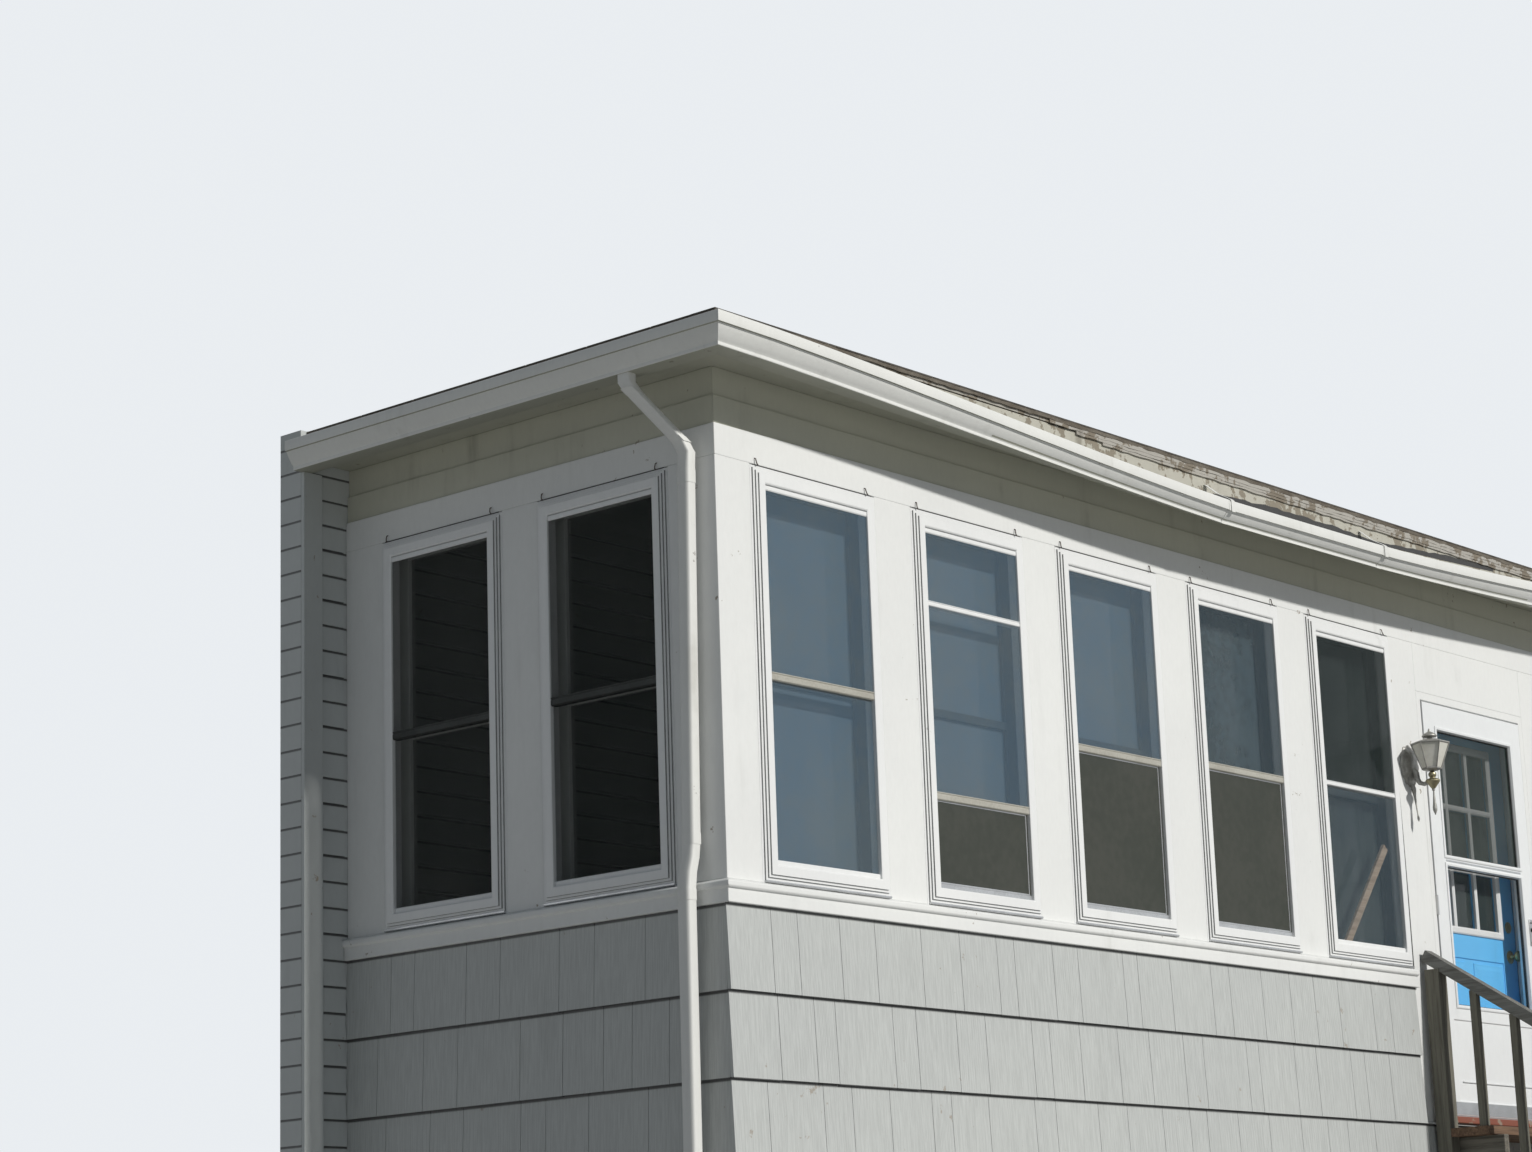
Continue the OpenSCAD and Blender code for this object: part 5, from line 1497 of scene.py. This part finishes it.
GUTTER = GUTTER_SKIN + offset_outline(GUTTER_SKIN, SHEET)[::-1]
JOINTS = (2.870, 4.100)
EAVE, SAG, GUTTER_W, JOINT_RISE = 0.190, 0.066, 0.128, 0.007
SINK = 0.060 / GUTTER_W
RIM_Z = SOFFIT_Z + 0.063


def eased(x, stations):
    """A value between stations that slows down near each of them."""
    for (x0, v0), (x1, v1) in zip(stations, stations[1:]):
        if x <= x1:
            t = max(0.0, (x - x0) / (x1 - x0))
            linear, smooth = t, t * t * (3 - 2 * t)
            return v0 + (v1 - v0) * (0.55 * linear + 0.45 * smooth)
    return stations[-1][1]


RIM_STATIONS = [(-EAVE, RIM_Z), (JOINTS[0], RIM_Z - SAG), (JOINTS[1], RIM_Z - SAG + JOINT_RISE),
                (SPAN + EAVE, RIM_Z)]
SINK_STATIONS = [(-EAVE, 0.0), (JOINTS[0], SINK), (JOINTS[1], SINK), (SPAN + EAVE, 0.0)]


def gutter_section(profile, x, lean):
    rim, sink = eased(x, RIM_STATIONS), eased(x, SINK_STATIONS)
    return [(x + lean * a, -EAVE - a, rim + b - sink * a) for a, b in profile]


print("gutter profile", len(GUTTER), "points, rim at", round(RIM_Z, 3))

# %% [markdown]
# The front gutter is swept through stations 0.32 m apart and mitred at both corners. A strap
# wraps each splice, and a bent hanger crosses its top.

# %% Sweep the front gutter
STATION_STEP = 0.32
front_gutter = Piece("gutter_enamel")
xs = [-EAVE, 0.0] + [STATION_STEP * k for k in range(1, 22)] + [SPAN, SPAN + EAVE]
leans = [-1] + [0] * (len(xs) - 2) + [1]
front_gutter.sweep([gutter_section(GUTTER, x, lean) for x, lean in zip(xs, leans)], on_front)
STRAP_T, STRAP_ENDS = 0.0035, (-0.022, 0.014)
HANGER_ENDS, SLIPS, PIVOT = (-0.010, 0.016), (0.0, 0.045), 0.13
strap = [(a + SHEET, b - 0.001) for a, b in GUTTER_SKIN[2:]]
strap = strap + offset_outline(strap, STRAP_T)[::-1]
hanger = [(0.002, 0.030), (0.004, 0.034), (0.060, 0.012), (0.122, 0.005), (0.130, 0.002),
          (0.1315, -0.006), (0.1315, -0.046), (0.1295, -0.046)]
hanger = hanger + offset_outline(hanger, SHEET)[::-1]
for x, slip in zip(JOINTS, SLIPS):
    front_gutter.sweep([gutter_section(strap, x + d, 0.0) for d in STRAP_ENDS], on_front)
    front_gutter.sweep([[(px + slip * (PIVOT + py), py, pz) for px, py, pz in gutter_section(
        hanger, x + d, 0.0)] for d in HANGER_ENDS], on_front)


def faces_down(face, corners):
    """The bottom of a gutter faces away from the light: its darker paint is painted shade, with
    streaks of dirt.
    """
    return face.normal.z < -0.8


repaint(front_gutter.finish("front_gutter_sheet", PORCH, "gutter_enamel", "front_gutter",
                            smooth=30), "gutter_underside_shade", faces_down)
print("front gutter", len(front_gutter.faces), "faces")


# %% Side gutters and spike heads
def side_gutter(name, put, stands_for):
    """Straight, mitred at the corner, capped at the house."""
    piece = Piece("gutter_enamel")
    piece.sweep([[(x + lean * a, -EAVE - a, RIM_Z + b) for a, b in GUTTER]
                 for x, lean in ((0.002, 0), (SIDE_L + EAVE, 1))], put)
    cap = GUTTER_SKIN[:-4] + [(0.120, 0.0)]
    piece.sweep([[(x, -EAVE - a, RIM_Z + b) for a, b in cap] for x in (0.001, 0.0026)], put)
    repaint(piece.finish(name, PORCH, "gutter_enamel", stands_for, smooth=30), "gutter_underside_shade",
            faces_down)


side_gutter("left_gutter_sheet", on_left, "left_gutter")
side_gutter("right_gutter_sheet", on_right, "right_gutter")
head = Piece()
head.lathe([(0, 0.0), (0.0055, 0.0), (0.005, -0.002), (0, -0.0028)], (0, 0, 0), None, 0, 8,
           axis="y")
head_mesh = head.mesh("spike_head")
spikes = {"Count": 3, "Step": (0.72, 0.0, 0.0), "Start": (0.30, -EAVE - 0.1251, RIM_Z - 0.022),
          "Sway": 0.0, "Seed": 1, "Finish": MADE["gutter_enamel"]}
heads = [moved_mesh(grown("spike_heads", ROW, head_mesh, spikes), put)
         for put in (on_left, on_right)]
settle("gutter_spike_heads", join_meshes("gutter_spike_heads", heads), PORCH, "gutter_enamel")
print("spike heads", len(heads) * spikes["Count"])

# %% [markdown]
# ## Roof
# The hipped roof is boarded and covered with dark asphalt tabs, old and granular. The course
# tree lays them on each slope, and planes through the hips trim the slopes where they meet.
# A row of folded caps covers each hip.

# %% Roof deck
FASCIA_Z, FASCIA_H, DECK_T = SOFFIT_Z - 0.018, 0.104, 0.036
ROOF_EDGE_Z = FASCIA_Z + FASCIA_H + DECK_T
SLOPE, OVER = 0.25, EAVE + 0.014
LAY = 0.009
slant = math.hypot(1.0, SLOPE)


def roof_deck(inset):
    x0, x1, y0, y1 = LEFT - OVER + inset, -LEFT + OVER - inset, FRONT - OVER + inset, HOUSE
    run_in = y1 - y0
    edge = ROOF_EDGE_Z - LAY + SLOPE * inset
    top = [(x0, y0, edge), (x1, y0, edge), (x1, y1, edge), (x0, y1, edge),
           (x0 + run_in, y1, edge + SLOPE * run_in), (x1 - run_in, y1, edge + SLOPE * run_in)]
    low = [(x, y, z - (DECK_T - LAY)) for x, y, z in top]
    piece = Piece("deck_board")
    piece.add(top + low, [(1, 0, 4, 5), (0, 3, 4), (2, 1, 5), (6, 7, 11, 10), (9, 6, 10),
                          (7, 8, 11), (0, 1, 7, 6), (1, 2, 8, 7), (3, 0, 6, 9), (4, 3, 9, 10),
                          (5, 4, 10, 11), (2, 5, 11, 8)])
    piece.finish("roof_deck", PORCH, "roofing", "roof", bevel=0.002)


roof_deck(inset=0.010)
print("roof edge at", round(ROOF_EDGE_Z, 3))


# %% [markdown]
# One tab is a thin wedge. A slope has flat coordinates of its own, like a wall, and a tree's
# result is carried there. Where two slopes meet, a plane through the hip cuts the tabs of
# both, and the cut is filled so that no tab is left open.

# %% Helpers for the slopes
TAB_W, TAB_H, TAB_LAP, TAB_LOW_T, TAB_TOP_T = 0.305, 0.125, 0.020, 0.0052, 0.0008


def unit_tab():
    """One tab, one metre wide and one tall, thicker at its lower edge."""
    piece = Piece()
    piece.sweep([[(0.0, 0.0, z), (1.0, 0.0, z), (1.0, -t, z), (0.0, -t, z)]
                 for z, t in ((0.0, TAB_LOW_T), (1.0, TAB_TOP_T))])
    return piece.mesh("unit_tab")


def on_slope(edge_start, along, inward):
    """Lays wall coordinates on a slope: x along its eave, z up the slope, depth into it."""
    up = (inward + Vector((0, 0, SLOPE))) / slant
    normal = (Vector((0, 0, 1)) - inward * SLOPE) / slant

    def put(x, depth, z):
        return edge_start + along * x + up * z - normal * depth
    return put


def cut(mesh, point, normal):
    """Keeps the side of a plane that its normal points away from."""
    work = bmesh.new()
    work.from_mesh(mesh)
    geometry = work.verts[:] + work.edges[:] + work.faces[:]
    bmesh.ops.bisect_plane(work, geom=geometry, plane_co=point, plane_no=normal,
                           clear_outer=True)
    holes = [e for e in work.edges if e.is_boundary]
    bmesh.ops.holes_fill(work, edges=holes, sides=0)
    work.to_mesh(mesh)
    work.free()


print("tabs are", TAB_W, "by", TAB_H, "m")

# %% Lay the tabs
EDGE_Z = ROOF_EDGE_Z - LAY
X0, X1, Y0 = LEFT - OVER, -LEFT + OVER, FRONT - OVER
EAST, WEST, NORTH, SOUTH = (Vector(v) for v in ((1, 0, 0), (-1, 0, 0), (0, 1, 0), (0, -1, 0)))
LEFT_HIP, RIGHT_HIP = Vector((X0, Y0, 0)), Vector((X1, Y0, 0))
slopes = [("front", X1 - X0, on_slope(Vector((X0, Y0, EDGE_Z)), EAST, NORTH), 41,
           [(LEFT_HIP, Vector((-1, 1, 0))), (RIGHT_HIP, Vector((1, 1, 0)))]),
          ("left", HOUSE - Y0, on_slope(Vector((X0, HOUSE, EDGE_Z)), SOUTH, EAST), 42,
           [(LEFT_HIP, Vector((1, -1, 0)))]),
          ("right", HOUSE - Y0, on_slope(Vector((X1, Y0, EDGE_Z)), NORTH, WEST), 43,
           [(RIGHT_HIP, Vector((-1, -1, 0)))])]
reach = (HOUSE - Y0) * slant
shingles = []
for name, length, put, seed, hips in slopes:
    rows = math.ceil(reach / TAB_H)
    mesh = grown("tabs_" + name, COURSES, unit_tab(), {
        "Length": length, "Rows": rows, "Columns": round(length / TAB_W),
        "Row Height": TAB_H, "Tile Height": TAB_H + TAB_LAP, "Jitter": 0.10, "Gap": 0.006,
        "Drop": 0.0, "Stagger": 0.5, "Seed": seed, "Finish": MADE["roofing"]})
    for vertex in mesh.vertices:
        vertex.co = put(vertex.co.x, vertex.co.y - TAB_TOP_T, min(vertex.co.z, reach))
    outward(mesh)
    cut(mesh, Vector((0, HOUSE - 0.001, 0)), Vector((0, 1, 0)))
    for point, normal in hips:
        cut(mesh, point, normal)
    outward(mesh)
    shingles.append(mesh)
tabs = join_meshes("shingle_tabs", shingles)
settle("shingle_tabs", tabs, PORCH, "roofing", "roof")
print("tabs", len(tabs.polygons), "faces")

# %% [markdown]
# Along each hip, short folded caps overlap like the tabs. Each is two wings on a ridge, a
# little lower at its upper end, so that the next one can lie on it.

# %% Hip caps
hip_len = (HOUSE - Y0) * Vector((1, 1, SLOPE)).length
WING, CAP_LEN, CAP_STEP, TOP_REST = 0.115, 0.155, 0.125, 0.30
lift, thin = Vector((0, 0, 0.0085)), Vector((0, 0, 0.0045))
caps = []
for corner, mirror_x in ((LEFT_HIP, 1), (RIGHT_HIP, -1)):
    along = Vector((mirror_x, 1, SLOPE)).normalized()
    wing_1, wing_2 = Vector((mirror_x * WING, 0, 0)), Vector((0, WING, 0))
    rows = []
    for t, raise_by in ((0.0, lift), (CAP_LEN, lift * 0.45)):
        base = along * t + raise_by
        rows.append([tuple(base + wing_1), tuple(base), tuple(base + wing_2),
                     tuple(base + wing_2 - thin), tuple(base - thin), tuple(base + wing_1 - thin)])
    cap = Piece()
    cap.sweep(rows)
    start = Vector((corner.x, Y0, EDGE_Z)) + along * 0.012
    caps.append(grown("hip_caps", ROW, cap.mesh("hip_cap"), {
        "Count": int((hip_len - TOP_REST) / CAP_STEP), "Step": tuple(along * CAP_STEP),
        "Start": tuple(start), "Sway": 0.0, "Seed": 2, "Finish": MADE["roofing"]}))
settle("hip_caps", join_meshes("hip_caps", caps), PORCH, "roofing", "roof")
print("hip caps", sum(len(m.polygons) for m in caps), "faces")

# %% [markdown]
# Under the lowest tabs the roof's edge shows as thin, uneven layers: the starter strip over
# the ends of old boards. Each layer is a strip whose lower edge wanders by a few millimetres.
# Below the front one, a thin dark strip of uneven height runs along the fascia behind the
# gutter, just over its sunken lip.

# %% The roof's edge and the dark strip below it
starter = Piece("roof_edge", "deck_board")
LAYERS = ((0.004, -0.012, 0.0), (-0.011, -0.026, 0.0015), (-0.025, -0.039, 0.003),
          (-0.038, -0.049, 0.005))
EDGE_STEP = 0.045
for put, x0, x1, seed in ((on_front, -OVER, SPAN + OVER, 17), (on_left, 0.0, SIDE_L + OVER, 18),
                          (on_right, 0.0, SIDE_L + OVER, 19)):
    wobble = random.Random(seed)
    steps = round((x1 - x0) / EDGE_STEP)
    for layer, (top, low, back) in enumerate(LAYERS):
        sections = []
        first = steps // 4 + layer * 4 if layer and put is on_front else 0
        for i in range(first, steps + 1):
            sag = wobble.uniform(-0.001, 0.004)
            out = OVER - back - wobble.uniform(0.0, 0.0025)
            sections.append([(x0 + (x1 - x0) * i / steps, -o, EDGE_Z + z) for o, z in (
                (out, top), (out, low - sag), (out - 0.009, low - sag + 0.001),
                (out - 0.009, top))])
        starter.sweep(sections, put, 1 if layer else 0)
starter.finish("starter_strip", PORCH, "roofing", "roof")
DARK_STRIP_X0, DARK_STRIP_X1, DARK_STRIP_STEPS, FADE = 2.93, 5.30, 48, 0.55
unevenness, sections = random.Random(5), []
for i in range(DARK_STRIP_STEPS + 1):
    t = i / DARK_STRIP_STEPS
    x = DARK_STRIP_X0 + (DARK_STRIP_X1 - DARK_STRIP_X0) * t
    lip = eased(x, RIM_STATIONS) - eased(x, SINK_STATIONS) * GUTTER_W + GUTTER_W * 0.495
    swell = min(1.0, t * 1.6 + 0.05) if t < FADE else 0.93 - (t - FADE) * 0.9
    tall = 0.0005 + 0.028 * math.sin(math.pi * swell) * unevenness.uniform(0.6, 1)
    sections.append([(x, -EAVE - d, lip - 0.006 + h) for d, h in (
        (0.0, 0.0), (0.0012, 0.0), (0.0012, 0.006 + max(tall, 0.0005)),
        (0.0, 0.006 + max(tall, 0.0005)))])
dark_strip = Piece("dark_rubber")
dark_strip.sweep(sections, on_front)
dark_strip.finish("fascia_dark_strip", PORCH, "roofing")
print("roof edge", len(starter.faces), "faces, rot", len(dark_strip.faces), "faces")

# %% [markdown]
# ## Downspout
# A rectangular pipe with rounded corners drops from the left gutter, cranks back to the
# corner, kicks out over the sill and runs down to a shoe. It is one sweep of a rounded
# section, with a band where each length slips into the next. The path gives each bend once,
# and a helper turns it into two stations, as an elbow is pressed.

# %% The downspout's path and section
SPOUT_W, SPOUT_D = 0.062, 0.050
CASING_Z = SOFFIT_Z - 0.215
OUTLET_Z = RIM_Z - 0.112
SILL_OUT = 0.032
BEND_SHARE, BEND_REACH, SPOUT_SIDES, ROUNDNESS = 0.25, 0.035, 16, 0.42
DROP_OUT, WALL_OUT = EAVE + 0.055, SPOUT_D / 2 + 0.018
APRON_OUT = SILL_OUT + SPOUT_D / 2 + 0.010
spout_path = [(DROP_OUT, 0.190, OUTLET_Z + 0.002), (DROP_OUT, 0.190, OUTLET_Z - 0.040),
              (WALL_OUT, 0.095, CASING_Z - 0.085), (WALL_OUT, 0.100, CASING_Z - 0.165),
              (WALL_OUT, 0.125, APRON_Z + 0.190), (APRON_OUT, 0.130, APRON_Z + 0.090),
              (APRON_OUT, 0.140, 0.210), (APRON_OUT + 0.020, 0.145, 0.140),
              (APRON_OUT + 0.100, 0.150, 0.050)]


def rounded_ring(grow):
    """A rounded rectangle as (out, along) offsets."""
    ring = []
    for k in range(SPOUT_SIDES):
        angle = 2 * math.pi * (k + 0.5) / SPOUT_SIDES
        c, s = math.cos(angle), math.sin(angle)
        ring.append((math.copysign(abs(c) ** ROUNDNESS, c) * (SPOUT_D / 2 + grow),
                     math.copysign(abs(s) ** ROUNDNESS, s) * (SPOUT_W / 2 + grow)))
    return ring


def softened(path):
    """Each bend becomes two stations, so that elbows look pressed and not cut."""
    stations = [path[0]]
    for before, here, after in zip(path, path[1:], path[2:]):
        for other in (before, after):
            gap = Vector(other) - Vector(here)
            stations.append(tuple(Vector(here) + gap * min(BEND_SHARE,
                                                           BEND_REACH / gap.length)))
    return stations + [path[-1]]


def spout_rings(stations, grow):
    return [[(LEFT - out + a, FRONT + back + b, z) for a, b in rounded_ring(grow)]
            for out, back, z in stations]


print("path of", len(spout_path), "points")

# %% Sweep the downspout and its collars
spout = Piece("gutter_enamel")
spout.sweep(spout_rings(softened(spout_path), -SHEET))
COLLAR_GROW = -0.0002


def collar(low, high, share, height):
    """A band round the pipe at a share of the way between two stations."""
    stations = []
    for d in (-height / 2, height / 2):
        t = share + d / (Vector(high) - Vector(low)).length
        stations.append(tuple(Vector(low).lerp(Vector(high), t)))
    spout.sweep(spout_rings(stations, COLLAR_GROW))


for start, share, height in ((1, 0.10, 0.030), (1, 0.88, 0.030), (3, 0.02, 0.050),
                             (3, 0.97, 0.040), (5, 0.03, 0.040), (5, 0.97, 0.030)):
    collar(spout_path[start], spout_path[start + 1], share, height)
spout.finish("downspout_sheet", PORCH, "gutter_enamel", "downspout", smooth=40)
print("downspout", len(spout.faces), "faces")

# %% [markdown]
# ## Floor and ceiling boards
# Inside, narrow painted boards run across the floor and beaded boards run along the ceiling.
# They show only through the glass, so they are plain boards with a small gap, laid by the row
# tree over the solids' height.

# %% Lay the boards
BOARD_STEP, BOARD_GAP, EASE = 0.083, 0.003, 0.003


def board(length, width, height, axis):
    """One plain board with its top edges eased, its length along an axis."""
    piece = Piece()
    outline = [(0.0, 0.0), (width, 0.0), (width, height - EASE), (width - EASE, height),
               (EASE, height), (0.0, height - EASE)]
    if axis == "y":
        piece.sweep([[(a, y, b) for a, b in outline] for y in (0.0, length)])
    else:
        piece.sweep([[(x, a, height - b) for a, b in outline] for x in (0.0, length)])
    return piece.mesh("board")


def lay_boards(name, node, axis, slot, material):
    """Fills a node's box with boards along one axis, at equal steps along the other."""
    low, high = (Vector(v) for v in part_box(node))
    size = high - low
    across = size.x if axis == "y" else size.y
    count = round(across / BOARD_STEP)
    step = across / count
    unit = board(size.y if axis == "y" else size.x, step - BOARD_GAP, size.z, axis)
    boards = grown(name, ROW, unit, {
        "Count": count, "Step": (step, 0.0, 0.0) if axis == "y" else (0.0, step, 0.0),
        "Start": tuple(low), "Sway": 0.0, "Seed": 1, "Finish": MADE[material]})
    settle(name, boards, PORCH, slot, node)
    return count


floor_count = lay_boards("floor_planks", "porch_floor", "y", "floor_paint", "floor_paint")
ceiling_count = lay_boards("ceiling_boards", "ceiling", "x", "white_paint", "ceiling_paint")
print("floor boards", floor_count, "ceiling boards", ceiling_count)

# %% [markdown]
# ## The stair
# The stair is bare, weathered lumber: notched stringers, seven treads, square posts, thin
# square balusters and a flat handrail, worn paler than the posts. Its edges are eased. The
# railing is one solid with its posts, so the handrail's faces are told by their length.

# %% Dress the stair
LONG_FACE = 1.0
dress("stair_stringers", "stair_rail_wood", 0.003)
dress("stair_treads", "tread_wood", 0.004)
for node in ("left_railing", "right_railing"):
    repaint(dress(node, "stair_post_wood", 0.004), "handrail_wood",
            lambda face, corners: max(c.y for c in corners) - min(c.y for c in corners)
            > LONG_FACE)
print("stair dressed")

# %% [markdown]
# ## The size
# The dressed model has to stay the size of the solids.
